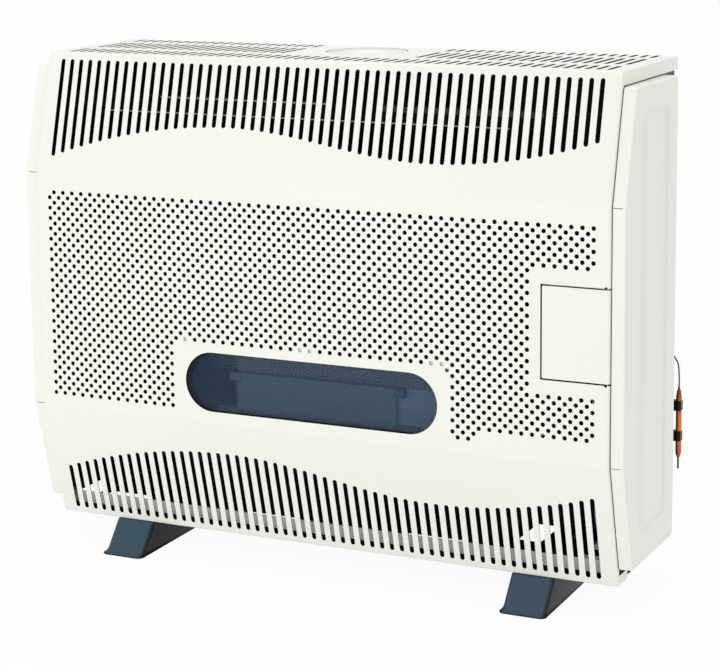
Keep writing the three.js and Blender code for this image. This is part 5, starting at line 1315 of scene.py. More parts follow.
@dataclass
class Casing:
    """The folded front casing: slots above and below, perforated middle, window and flap openings."""

    shop: Workshop
    half_width: float = 402.5
    sheet: float = 1.2
    bend: float = 3.4
    edge_round: float = 2.6
    front: float = -128.0
    facet_edge: float = -86.0
    back: float = 128.0
    bottom: float = 41.0
    lower_bend: float = 201.5
    upper_bend: float = 519.0
    top: float = 676.0
    return_depth: float = 33.0
    return_height: float = 14.0
    side_return: float = 6.0
    skirt: float = 17.0
    rear_flange: float = 15.0
    slot_pitch: float = 14.0
    slot_width: float = 6.0
    slot_count: int = 55
    slot_margin: float = 8.5
    lower_wave: Point2 = (159.6, 125.0)
    upper_wave: Point2 = (588.0, 557.2)
    wave_x: Point2 = (-120.0, 163.0)
    wave_rise: Point2 = (0.0007, 0.00075)
    top_rows: tuple[Point3, ...] = ((15.0, 60.0, 0.0), (84.0, 158.0, 96.0), (178.0, 210.0, 96.0))
    hole_pitch: float = 7.0
    hole_radius: float = 2.9
    hole_top: float = 60.5
    hole_shift: float = 1.5
    hole_columns: range = range(-53, 57)
    hole_rows: range = range(-10, 30)
    hole_gaps: tuple[tuple[int, ...], ...] = ((45, 56, -2, 19), (-26, 28, 17, 29), (29, 29, 18, 29),
                                              (35, 56, 28, 29))
    window_half: float = 179.0
    window_height: float = 79.0
    window_z: float = 257.0
    flap_left: float = 314.7
    flap_z: Point2 = (304.2, 422.1)
    relief_radius: float = 2.1
    flue_radius: float = 54.5
    flue_back: float = 185.0
    arc_steps: int = 5
    tolerance: float = 0.01

    def wave(self, x: float, crest: float, trough: float) -> float:
        """Height of a wave of slot ends.

        Args:
            x: place across the front.
            crest: height at the left crest.
            trough: height at the right trough.

        Returns:
            The height in millimetres.
        """
        (crest_x, trough_x), (fall, rise) = self.wave_x, self.wave_rise
        if x < crest_x:
            return crest - fall * (x - crest_x) ** 2
        if x > trough_x:
            return trough + rise * (x - trough_x) ** 2
        share = (x - crest_x) / (trough_x - crest_x)
        return trough + (crest - trough) * 0.5 * (1 + math.cos(math.pi * share))

    def perforations(self) -> list[Point2]:
        """Centres of the round holes in the middle run, as x and height; rows count downwards."""
        return [(self.hole_pitch * (column - self.hole_shift), self.hole_pitch * (self.hole_top - row))
                for column in self.hole_columns for row in self.hole_rows
                if (column + row) % 2 == 0 and not any(left <= column <= right and low <= row <= high
                                                       for left, right, low, high in self.hole_gaps)]

    def fold(self) -> Fold:
        """The casing's side profile."""
        return Fold([(self.facet_edge + self.return_depth, self.bottom), (self.facet_edge, self.bottom),
                     (self.front, self.lower_bend), (self.front, self.upper_bend),
                     (self.facet_edge, self.top), (self.back, self.top),
                     (self.back, self.top - self.rear_flange)], self.bend)

    def along(self, run: Line, value: float, axis: int = 1) -> float:
        """How far up a run a height (axis 1) or depth (axis 0) lies."""
        start, end = Vector(run[0]), Vector(run[1])
        return (value - start[axis]) / (end[axis] - start[axis]) * (end - start).length

    def slot(self, run: Line, x: float, low: float, high: float, axis: int = 1) -> list[Point2]:
        """One slot between two heights or depths of a run."""
        return stadium((x, self.along(run, low, axis)), (x, self.along(run, high, axis)), self.slot_width)

    def openings(self, index: int, run: Line) -> list[list[Point2]]:
        """The slots and other large openings of one run, in its own plane.

        Args:
            index: the run's number in the profile.
            run: its two ends.

        Returns:
            Their outlines.
        """
        columns = [(slot - (self.slot_count - 1) / 2) * self.slot_pitch for slot in range(self.slot_count)]
        if index == Run.LOWER:
            low = self.bottom + self.slot_margin
            return [self.slot(run, x, low, self.wave(x, *self.lower_wave)) for x in columns]
        if index == Run.MIDDLE:
            v = self.along(run, self.window_z)
            return [stadium((-self.window_half, v), (self.window_half, v), self.window_height, 28)]
        if index == Run.UPPER:
            high = self.top - self.slot_margin
            return [self.slot(run, x, self.wave(x, *self.upper_wave), high) for x in columns]
        if index == Run.TOP:
            flue = (0.0, self.along(run, self.front + self.flue_back, 0))
            return [*(self.slot(run, x, self.facet_edge + start, self.facet_edge + end, 0)
                      for x in columns for start, end, clear in self.top_rows if abs(x) >= clear),
                    circle(flue, self.flue_radius, 72)]
        return []

    def edge_outline(self, index: int, length: float, run: Line) -> list[Point2]:
        """The outer edge of one flat run, with the flap's notch in the middle run.

        Args:
            index: the run's number.
            length: its length.
            run: its two ends.

        Returns:
            The outline.
        """
        reach = self.half_width - self.edge_round
        notch: list[Point2] = []
        if index == Run.MIDDLE:
            low, high = (self.along(run, z) for z in self.flap_z)
            relief = self.relief_radius
            notch = [*arc((reach - relief, low), relief, 0, -180, 8), (self.flap_left, low),
                     (self.flap_left, high), *arc((reach - relief, high), relief, 180, 0, 8)]
        return [(-reach, 0.0), (reach, 0.0), *notch, (reach, length), (-reach, length)]

    def add_flats(self, draft: Draft, fold: Fold) -> None:
        """Adds the flat runs and the bends between them.

        Args:
            draft: the casing's draft.
            fold: the casing's profile.
        """
        reach = self.half_width - self.edge_round
        for index, run in enumerate(fold.runs):
            start, end = Vector(run[0]), Vector(run[1])
            length, along = (end - start).length, (end - start).normalized()
            holes = self.perforations() if index == Run.MIDDLE else []
            flat = self.shop.sheet(self.edge_outline(index, length, run), *self.openings(index, run),
                                   dots=[(x, self.along(run, z)) for x, z in holes], radius=self.hole_radius)
            draft.add(flat, Matrix(((1, 0, 0, 0), (0, along.x, -along.y, start.x),
                                    (0, along.y, along.x, start.y), (0, 0, 0, 1))))
        for bend in fold.bends:
            draft.quads([[(-reach, y, z), (reach, y, z)] for y, z in bend])

    def add_side(self, draft: Draft, fold: Fold, side: int) -> None:
        """Adds one side: its round edge and its wall, on the right with the flap's notch.

        Args:
            draft: the casing's draft.
            fold: the casing's profile.
            side: 1 for the right, -1 for the left.
        """
        cuts = self.flap_z if side > 0 else ()
        stations = fold.stations(cuts, Run.MIDDLE)
        rows = []
        for sine, cosine in quarter_turn(self.arc_steps):
            x = side * (self.half_width - self.edge_round + self.edge_round * sine)
            inset = self.edge_round * (1 - cosine)
            rows.append([(x, y - n[0] * inset, z - n[1] * inset) for (y, z), n in stations])
        columns = [list(column)[::-side] for column in zip(*rows)]

        def in_flap(row: int, _: int) -> bool:
            """Whether a cell of the round edge lies in the flap's notch."""
            heights = [stations[row][0][1], stations[row + 1][0][1]]
            return (bool(cuts) and min(heights) >= cuts[0] - self.tolerance
                    and max(heights) <= cuts[1] + self.tolerance)

        draft.quads(columns, skip=in_flap)
        rim = [(y, z) for _, y, z in rows[-1]]
        inner = self.inner_rim()
        if not cuts:
            self.add_wall(draft, side, rim + inner[::-1])
            return

        def station(height: float) -> int:
            """The rim's first point in the front plane at a height."""
            return next(index for index, (y, z) in enumerate(rim)
                        if abs(z - height) < self.tolerance and y < self.facet_edge)

        low, high = cuts
        depth = self.front + self.side_return
        low_inner = [point for point in inner if point[1] < low and point[0] < 0]
        high_inner = [point for point in inner if point[1] > high]
        self.add_wall(draft, side, [*rim[: station(low) + 1], (depth, low), *low_inner[::-1]])
        self.add_wall(draft, side, [*rim[station(high):], *high_inner[::-1], (depth, high)])

    def inner_rim(self) -> list[Point2]:
        """The side wall's inner edge in depth and height, from the bottom return round to the rear.

        Returns:
            Its points.
        """
        depth = self.side_return
        slope = (self.front - self.facet_edge) / (self.lower_bend - self.bottom)
        back_off = depth / math.cos(math.atan(slope))
        sill = self.bottom + self.return_height
        skirt_z = self.top - self.skirt

        def on_lower(z: float) -> float:
            """The inner edge's depth at a height beside the lower run."""
            return self.facet_edge + (z - self.bottom) * slope + back_off

        upper = (self.facet_edge - self.front) / (self.top - self.upper_bend)
        lift = depth / math.cos(math.atan(upper))
        bend_low = self.lower_bend + (self.front + depth - on_lower(self.lower_bend)) / slope
        bend_high = self.upper_bend + (depth - lift) / upper
        skirt_y = self.front + (skirt_z - self.upper_bend) * upper + lift
        return [(self.facet_edge + self.return_depth, sill), (on_lower(sill), sill),
                (self.front + depth, bend_low), (self.front + depth, bend_high),
                (skirt_y, skirt_z), (self.back - self.edge_round, skirt_z)]

    def add_wall(self, draft: Draft, side: int, outline: list[Point2]) -> None:
        """Adds a flat side wall, facing outwards.

        Args:
            draft: the casing's draft.
            side: 1 for the right, -1 for the left.
            outline: its edge in depth and height.
        """
        area = sum(p[0] * q[1] - q[0] * p[1] for p, q in zip(outline, outline[1:] + outline[:1]))
        before = len(draft.mesh.faces)
        order = 1 if (area > 0) == (side > 0) else -1
        draft.face([(side * self.half_width, y, z) for y, z in outline[::order]])
        draft.mesh.faces.ensure_lookup_table()
        for face in draft.mesh.faces[before:]:
            face.normal_update()
            if face.normal.x * side < 0:
                face.normal_flip()

    def build(self) -> None:
        """Builds the casing."""
        draft = Draft()
        fold = self.fold()
        self.add_flats(draft, fold)
        for side in (-1, 1):
            self.add_side(draft, fold, side)
        draft.closed().piece("front_cover", CREAM, Body.HEATER, "front_casing", wall=self.sheet, shaded_inside=True)


# ------------------------------------------------------------------ side trays and flap


@dataclass
class SideTray:
    """A pan on the heater's side: rounded edge, sunken field, slit front strip."""

    casing: Casing
    right: bool
    outer: float = 420.7
    strip_inner: float = 403.7
    flange_inner: float = 398.3
    strip_rear: float = -74.0
    shoulder: float = 0.05
    slit_end: float = 416.0
    slit_front: float = -123.0
    slit_height: float = 2.0
    low: float = 64.0
    high: float = 657.5
    rear: float = 73.0
    hidden_rear: float = 200.0
    setback: float = 4.0
    edge_round: float = 3.2
    edge_steps: int = 5
    corner: float = 4.5
    sheet: float = 1.2
    field_y: Point2 = (-57.0, 36.0)
    field_z: Point2 = (105.0, 624.0)
    field_corner: float = 12.0
    field_depth: float = 3.5
    step_out: float = 1.2
    step_in: float = 2.0
    step_count: int = 8
    bend_radius: float = 3.0

    def corners(self) -> list[Point2]:
        """The sharp outline in depth and height, anticlockwise seen from the right.

        Returns:
            Its corners.
        """
        front = self.casing.fold().corners[1:5]
        closed = inset_polygon([(self.hidden_rear, front[0][1]), (self.hidden_rear, front[-1][1]),
                                *reversed(front)], self.setback)
        top, upper, lower, bottom = closed[2:]
        at_top = upper[0] + (top[0] - upper[0]) * (self.high - upper[1]) / (top[1] - upper[1])
        at_low = lower[0] + (bottom[0] - lower[0]) * (self.low - lower[1]) / (bottom[1] - lower[1])
        strip, edge = self.strip_rear, self.strip_rear - self.shoulder
        return [(self.rear, self.low), (self.rear, self.high), (strip, self.high), (edge, self.high),
                (at_top, self.high), upper, lower, (at_low, self.low), (edge, self.low), (strip, self.low)]

    def ring(self, inset: float) -> list[Point2]:
        """The outline with round corners, moved inwards."""
        soft, bend = max(self.corner - inset, 0.6), self.bend_radius
        return fillet(inset_polygon(self.corners(), inset), [soft, soft, 0, 0, soft, bend, bend, soft, 0, 0])

    def field(self, shrink: float) -> list[Point2]:
        """The sunken field's outline, made smaller."""
        (y0, y1), (z0, z1) = self.field_y, self.field_z
        return round_rectangle((y0 + shrink, y1 - shrink), (z0 + shrink, z1 - shrink),
                               self.field_corner - shrink)

    def add_rim(self, draft: Draft) -> None:
        """Adds the flange and the round edge, with a slit in the front strip at each fold.

        Args:
            draft: the tray's draft.
        """
        base = self.ring(0.0)
        strip = self.strip_rear - self.shoulder / 2
        rows = [[(self.strip_inner if y < strip else self.flange_inner, y, z) for y, z in base],
                [(self.slit_end, y, z) for y, z in base]]
        for sine, cosine in quarter_turn(self.edge_steps):
            x = self.outer - self.edge_round * (1 - sine)
            rows.append([(x, y, z) for y, z in self.ring(self.edge_round * (1 - cosine))])
        folds = (self.casing.lower_bend, self.casing.upper_bend)
        slits = {index for index, ((y, z), (_, after)) in enumerate(zip(base, base[1:]))
                 if y < self.slit_front and abs(z - after) < self.slit_height
                 and min(abs(z - fold) for fold in folds) < self.slit_height}
        draft.quads(rows, around=True, skip=lambda row, column: row == 0 and column in slits)

    def add_face(self, draft: Draft) -> None:
        """Adds the outer face and the sunken field with its soft step.

        Args:
            draft: the tray's draft.
        """
        sheet, plane = self.casing.shop.sheet, Axis.X.plane
        draft.add(sheet(self.ring(self.edge_round), self.field(-self.step_out)), plane(self.outer))
        rows = []
        for share in (step / self.step_count for step in range(self.step_count + 1)):
            shrink = -self.step_out + (self.step_out + self.step_in) * share
            x = self.outer - self.field_depth * smooth(share)
            rows.append([(x, y, z) for y, z in self.field(shrink)])
        draft.quads(rows, around=True)
        draft.add(sheet(self.field(self.step_in)), plane(self.outer - self.field_depth))

    def build(self) -> None:
        """Builds the tray."""
        draft = Draft()
        self.add_rim(draft)
        self.add_face(draft)
        draft.closed(RIGHT)
        side = "right" if self.right else "left"
        if not self.right:
            draft.mirrored()
        draft.piece(f"side_panel_{side}", CREAM, Body.HEATER, f"side_tray_{side}", wall=self.sheet,
                    shaded_inside=True)


@dataclass
class ControlFlap:
    """The small hinged door over the controls."""

    shop: Workshop
    left: float = 316.7
    right: float = 402.5
    front: float = -128.0
    low: float = 306.2
    high: float = 420.1
    bend: float = 2.6
    wrap: float = 6.0
    sheet: float = 1.2
    ear: Point2 = (389.5, 401.6)
    ear_depth: float = 7.6
    ear_corner: float = 1.2
    pin: Point2 = (398.9, -124.4)
    pin_hole: float = 1.8
    corner: float = 1.6
    corner_steps: int = 5

    def add_front(self, draft: Draft) -> None:
        """Adds the front and the bend round the casing's side.

        Args:
            draft: the flap's draft.
        """
        turn = arc((self.right - self.bend, self.front + self.bend), self.bend, -90, 0, 6)
        plan = [(self.left + self.corner, self.front), *turn, (self.right, self.front + self.wrap)]
        draft.quads([[(x, y, z) for x, y in plan] for z in (self.low, self.high)])
        rows = []
        for sine, cosine in quarter_turn(self.corner_steps):
            x, trim = self.left + self.corner * (1 - cosine), self.corner * (1 - sine)
            rows.append([(x, self.front, self.low + trim), (x, self.front, self.high - trim)])
        draft.quads(rows)

    def build(self) -> None:
        """Builds the flap with its two hinge ears."""
        draft = Draft()
        self.add_front(draft)
        draft.closed()
        plan = round_rectangle(self.ear, (self.front + self.sheet / 2, self.front + self.ear_depth),
                               self.ear_corner, 3)
        for height in (self.low, self.high):
            ear = self.shop.plate(Axis.Z.plane(height), plan, circle(self.pin, self.pin_hole, 16))
            if height == self.low:
                ear.flipped()
            draft.add(ear.data("ear"), Matrix())
        draft.piece("control_door", CREAM, Body.FLAP, "control_flap", wall=self.sheet)


# ------------------------------------------------------------------ feet and fasteners


@dataclass
class Foot:
    """A pressed foot: sloping front with a flared toe, round edges, open below."""

    shop: Workshop
    name: str
    centre: float
    half: float = 29.0
    height: float = 40.6
    fronts: Point2 = (-86.0, -120.0)
    rears: Point2 = (91.0, 101.0)
    radius: float = 8.0
    top_round: float = 2.6
    top_steps: int = 5
    toe: float = 6.0
    toe_height: float = 7.0
    toe_steps: int = 8
    side_flare: float = 2.2
    flare_rear: float = -62.0
    flare_fade: float = 45.0
    sheet: float = 1.5
    sole: float = 1.6

    def ring(self, height: float, inset: float, flare: float) -> list[Point3]:
        """The foot's outline at one height.

        Args:
            height: the height.
            inset: how far all sides are moved in.
            flare: how far the toe stands out.

        Returns:
            The outline's points.
        """
        share = 1 - height / self.height
        front, rear = (top + (low - top) * share for top, low in (self.fronts, self.rears))
        plan = round_rectangle((self.centre - self.half + inset, self.centre + self.half - inset),
                               (front + inset - flare, rear - inset), self.radius - inset, 6)
        widen = self.side_flare * flare / self.toe
        return [(x + widen * smooth((self.flare_rear - y) / self.flare_fade) * (x - self.centre) / self.half,
                 y, height) for x, y in plan]

    def build(self) -> None:
        """Builds the foot."""
        rows = [self.ring(self.height - self.top_round * (1 - cosine), self.top_round * (1 - sine), 0.0)
                for sine, cosine in quarter_turn(self.top_steps)]
        rows += [self.ring(self.toe_height - (self.toe_height - self.sole) * sine, 0.0,
                           self.toe * (1 - cosine))
                 for sine, cosine in quarter_turn(self.toe_steps)]
        draft = Draft().quads(rows, around=True)
        draft.add(self.shop.sheet([(x, y) for x, y, _ in rows[0]]), Axis.Z.plane(self.height))
        draft.closed(UP, 0.05).piece(f"stand_{self.name}", SLATE, Body.HEATER, f"foot_{self.name}",
                                     wall=self.sheet, sharp=50.0, shaded_inside=True)


@dataclass
class Screws:
    """Slotted pan head screws, one shape repeated."""

    shop: Workshop
    head_radius: float = 4.5
    head_height: float = 2.6
    head_shape: tuple[Point2, ...] = ((0.0, 1.0), (0.45, 0.98), (0.75, 0.86), (0.93, 0.58), (1.0, 0.2),
                                      (1.0, 0.0))
    slot_half: float = 0.55
    slot_depth: float = 1.1
    shank_radius: float = 2.0
    thread_root: float = 0.82
    thread_pitch: float = 1.4
    thread_places: Point2 = (0.4, 1.1)
    tip: float = 50.7
    foot_face: float = 38.4
    foot_x: float = 289.0
    foot_y: Point2 = (-41.0, 71.0)
    casing_face: float = 40.7
    casing_y: float = -62.9
    casing_x: float = 180.0
    panel_face: float = 126.55
    panel_length: float = 6.0
    panel_scale: float = 0.5
    panel_x: tuple[float, ...] = (-386.0, -130.0, 130.0, 386.0)
    panel_z: tuple[float, ...] = (58.0, 258.0, 458.0, 650.0)

    def one(self, length: float, flat: float = 1.0) -> bpy.types.Object:
        """One screw, its head downwards and the face under the head at height 0.

        Args:
            length: its shank's length.
            flat: factor for the head's height.

        Returns:
            The object.
        """
        head = self.head_height * flat
        crest, root = self.thread_places
        profile = [(self.head_radius * r, -head * z) for r, z in self.head_shape] + [(self.shank_radius, 0.0)]
        for turn in range(int(length / self.thread_pitch)):
            profile.append((self.shank_radius, crest + turn * self.thread_pitch))
            profile.append((self.shank_radius * self.thread_root, root + turn * self.thread_pitch))
        draft = Draft().turned(Axis.Z, (0.0, 0.0), [*profile, (0.0, length)], 20)
        for vertex in draft.mesh.verts:
            if abs(vertex.co.y) < self.slot_half and vertex.co.z < -head * 0.5:
                vertex.co.z = min(vertex.co.z + self.slot_depth * flat, -head * 0.4)
        return draft.closed(DOWN, 0.01).object("screw", ZINC)

    def build(self) -> None:
        """Sets the screws in the feet, the casing and the back panel."""
        feet = [((x, y, self.foot_face), (0.0, 0.0, 0.3 * index)) for index, (x, y) in enumerate(
            (x, y) for x in (-self.foot_x, self.foot_x) for y in self.foot_y)]
        casing = [((x, self.casing_y, self.casing_face), (0.0, 0.0, 0.5))
                  for x in (-self.casing_x, self.casing_x)]
        panel = [((x, self.panel_face, z), (math.pi / 2, 0.3 * index, 0.0)) for index, (x, z) in enumerate(
            (x, z) for x in self.panel_x for z in self.panel_z)]
        for name, places, shape, nodes in (
                ("stand_screws", feet, (self.tip - self.foot_face,), (
                    "foot_screw_left_front", "foot_screw_left_rear",
                    "foot_screw_right_front", "foot_screw_right_rear")),
                ("cover_screws", casing, (self.tip - self.casing_face,),
                 ("casing_screw_left", "casing_screw_right")),
                ("panel_screws", panel, (self.panel_length, self.panel_scale), ())):
            made = self.shop.scatter(name, self.one(*shape), places, ZINC)
            dressed(settle(made), Body.HEATER, ZINC, *nodes)


# ------------------------------------------------------------------ window, outlet, plates


@dataclass
class Window:
    """The tinted pane behind the long opening."""

    shop: Workshop
    half: float = 188.0
    front: float = -126.5
    rear: float = -122.5
    height: Point2 = (208.5, 305.5)
    corner: float = 3.0
    bevel: float = 0.8

    def build(self) -> None:
        """Builds the pane with bevelled edges."""
        pane = self.shop.plate(Axis.Y.plane(self.front),
                               round_rectangle((-self.half, self.half), self.height, self.corner, 4))
        pane.closed().piece("window_pane", WINDOW_GLASS, Body.HEATER, "viewing_glass",
                            wall=self.rear - self.front, bevel=self.bevel)


@dataclass
class Outlet:
    """The dished cover in the top and the flue spigot at the rear."""

    centre: Point2 = (0.0, 57.0)
    radius: float = 54.2
    top: float = 675.98
    depth: float = 12.0
    dip: float = 0.4
    skirt: float = 22.0
    sheet: float = 1.2
    rim: float = 1.8
    spigot_z: float = 589.8
    spigot_radius: float = 54.0
    spigot_y: Point2 = (94.6, 128.0)
    spigot_flange: float = 3.6
    bead_back: float = 6.0
    bead: tuple[Point2, ...] = ((0.0, -3.0), (0.9, -1.5), (1.2, 0.0), (0.9, 1.5), (0.0, 3.0))
    bead_inside: tuple[Point2, ...] = ((0.0, 3.0), (0.9, 0.0), (0.0, -3.0))

    def add_dish(self) -> None:
        """Adds the dish, with painted shade on its skirt and below."""
        inner = self.radius - 2 * self.rim
        bowl = [(inner * sine, self.top - self.dip - (self.depth - self.dip) * cosine)
                for sine, cosine in quarter_turn(14)]
        foot, wall = self.top - self.skirt, self.radius - self.sheet
        under = [(r * (inner + self.sheet) / inner, z - self.sheet) for r, z in reversed(bowl[:-1])]
        profile = [*bowl, *arc((self.radius - self.rim, self.top - self.rim), self.rim, 90, 0, 4),
                   (self.radius, foot), (wall, foot), (wall, self.top - self.rim - self.sheet), *under]
        made = Draft().turned(Axis.Z, self.centre, profile, 96).closed(DOWN, 0.01).object("outlet_dish", BOWL_SHADE_ENAMEL)
        # painted shade: the skirt and the underside are marked to go near black
        below = (self.top - self.rim) * MM
        mark_shaded_faces(made, [polygon.normal.z < 0.05 and polygon.center.z < below
                          for polygon in made.data.polygons])
        dressed(settle(made, 40.0), Body.HEATER, BOWL_SHADE_ENAMEL, "flue_cap")

    def add_spigot(self) -> None:
        """Adds the flanged and beaded spigot."""
        front, rear = self.spigot_y
        outer, flange = self.spigot_radius, self.spigot_radius + self.spigot_flange
        inside, bead = outer - self.sheet, rear - self.bead_back
        profile = [(inside, front), (flange, front), (flange, front + self.sheet),
                   (outer, front + self.sheet),
                   *((outer + out, bead + along) for out, along in self.bead), (outer, rear), (inside, rear),
                   *((inside + out, bead + along) for out, along in self.bead_inside), (inside, front)]
        Draft().turned(Axis.Y, (0.0, self.spigot_z), profile, 72).closed(RIGHT, 0.01).piece(
            "outlet_spigot", SPIGOT, Body.HEATER, "flue_spigot", sharp=35.0)

    def build(self) -> None:
        """Builds the dish and the spigot."""
        self.add_dish()
        self.add_spigot()


@dataclass
class Plates:
    """Dark sheet parts inside the back and the base that keep daylight out of the case; the keyhole pockets
    and the base plates are painted shade.
    """

    shop: Workshop
    sheet: float = 1.0
    corner: float = 3.0
    deflector: Line = ((-76.0, 76.0), (530.6, 574.0))
    deflector_front: float = -9.0
    collar: Line = ((-62.0, 62.0), (530.5, 652.0))
    collar_corner: float = 5.0
    collar_front: float = 123.2
    spigot: Point2 = (0.0, 589.8)
    spigot_hole: float = 54.6
    pocket_x: float = 250.0
    pocket_half: float = 13.0
    pocket_z: Point2 = (606.0, 644.0)
    pocket_fronts: Point2 = (125.0, 119.0)
    pocket_corner: float = 6.0
    pocket_taper: float = 3.0
    pocket_sheet: float = 0.6
    base_top: float = 45.2
    base_spans: tuple[Line, ...] = (((-392.5, -216.0), (31.0, 114.0)), ((218.0, 258.0), (-65.0, 17.0)))
    upright_x: float = -394.6
    upright: Line = ((31.0, 114.0), (45.4, 64.0))

    def add_pocket(self, name: str, centre: float) -> None:
        """Adds a dark pressed pocket over one keyhole, painted shade that keeps light out.

        Args:
            name: its side.
            centre: its middle across the panel.
        """
        start, end = self.pocket_fronts
        rows = []
        for share in (0.0, 0.25, 0.5, 0.75, 1.0):
            trim = self.pocket_taper * share
            outline = round_rectangle((centre - self.pocket_half + trim, centre + self.pocket_half - trim),
                                      (self.pocket_z[0] + trim, self.pocket_z[1] - trim),
                                      self.pocket_corner - trim)
            rows.append([(x, start + (end - start) * smooth(share), z) for x, z in outline])
        draft = Draft().quads(rows, around=True)
        draft.add(self.shop.sheet([(x, z) for x, _, z in rows[-1]]), Axis.Y.plane(end))
        draft.closed().piece(f"keyhole_pocket_{name}", FRAME, Body.HEATER, wall=self.pocket_sheet)

    def add_covers(self) -> None:
        """Adds dark cover plates over some of the base's air openings, painted shade where the floor would
        show through.
        """
        draft = Draft()
        for span in self.base_spans:
            draft.add(self.shop.sheet(round_rectangle(*span, self.corner)), Axis.Z.plane(self.base_top))
        draft.outward(UP)
        draft.add(self.shop.sheet(round_rectangle(*self.upright, self.corner)), Axis.X.plane(self.upright_x))
        draft.weld(0.02)
        draft.piece("base_covers", SOOT_AND_SHADE, Body.HEATER, wall=self.sheet)

    def build(self) -> None:
        """Builds the plates."""
        deflector = self.shop.plate(Axis.Y.plane(self.deflector_front),
                                    round_rectangle(*self.deflector, self.corner))
        deflector.closed().piece("flue_deflector", SOOT_AND_SHADE, Body.HEATER, wall=self.sheet)
        collar = self.shop.plate(Axis.Y.plane(self.collar_front),
                                 round_rectangle(*self.collar, self.collar_corner),
                                 circle(self.spigot, self.spigot_hole, 72))
        collar.closed().piece("flue_collar", SOOT_AND_SHADE, Body.HEATER, wall=self.sheet)
        self.add_pocket("left", -self.pocket_x)
        self.add_pocket("right", self.pocket_x)
        self.add_covers()


# ------------------------------------------------------------------ thermostat and controls


@dataclass
class Thermostat:
    """The copper bulb, its two clips and the capillary that leads into the case."""

    shop: Workshop
    centre: Point2 = (415.3, 110.0)
    radius: float = 3.75
    low: float = 157.0
    high: float = 247.0
    tail: float = 15.0
    tail_radius: float = 1.3
    clip_outer: float = 5.4
    clip_bore: float = 4.0
    clip_arm: float = 5.0
    clip_height: float = 13.0
    clip_bevel: float = 0.35
    clip_lows: Point2 = (179.5, 219.8)
    frame_x: float = 398.3
    capillary_radius: float = 1.0
    mouth: float = 38.0

    def add_bulb(self) -> None:
        """Adds the bulb with its crimped ends."""
        r, t, low, high, end = self.radius, self.tail_radius, self.low, self.high, self.low - self.tail
        profile = [(0.0, end), (t * 0.8, end + 0.2), (t, end + 0.8), (t, low - 1.0), (t * 1.25, low),
                   (r * 0.72, low + 3.2), (r * 0.95, low + 5.4), (r, low + 7.5), (r, low + 16.0),
                   (r * 0.96, low + 17.0), (r, low + 18.0), (r, high - 9.0), (r * 0.94, high - 7.0),
                   (r * 0.78, high - 4.5), (r * 0.74, high - 1.5), (t * 1.5, high), (t * 1.1, high + 2.0),
                   (t, high + 5.0), (0.0, high + 5.0)]
        Draft().turned(Axis.Z, self.centre, profile, 28).closed(RIGHT, 0.005).piece(
            "sensor_bulb", COPPER, Body.HEATER, "thermostat_bulb", sharp=55.0)

    def add_clips(self) -> None:
        """Adds the two spring clips on the side frame."""
        y, arm, mouth = self.centre[1], self.clip_arm, self.mouth
        wide = math.degrees(math.asin(arm / self.clip_outer))
        outline = [(self.frame_x, y - arm), *arc(self.centre, self.clip_outer, -180 + wide, -mouth, 14),
                   *arc(self.centre, self.clip_bore, -mouth, -360 + mouth, 22),
                   *arc(self.centre, self.clip_outer, mouth, 180 - wide, 14), (self.frame_x, y + arm)]
        for name, low in zip(("lower", "upper"), self.clip_lows):
            clip = self.shop.plate(Axis.Z.plane(low + self.clip_height), outline)
            clip.closed(UP, 0.005).piece(f"sensor_clip_{name}", BLACK, Body.HEATER, f"bulb_clip_{name}",
                                         wall=self.clip_height, bevel=self.clip_bevel)

    def add_capillary(self) -> None:
        """Adds the capillary along a smooth path."""
        x, y = self.centre
        top = self.high + 5.3
        knots = [(x, y, top), (x, y, top + 12), (x - 1.5, y, top + 28), (x - 6.0, y, 289.0),
                 (401.0, y, 302.0),
                 (393.8, y, 305.0), (376.8, y - 16.0, 333.0), (372.8, y - 60.0, 404.0), (367.0, -10.0, 440.0),
                 (365.0, -34.0, 430.0), (365.0, -38.0, 414.0), (365.0, -38.0, 404.4)]
        Draft().tube(smooth_path(knots, 8), self.capillary_radius, 10).closed(RIGHT, 0.005).piece(
            "sensor_capillary", TUBE, Body.HEATER, "capillary", sharp=60.0)

    def build(self) -> None:
        """Builds the group."""
        self.add_bulb()
        self.add_clips()
        self.add_capillary()


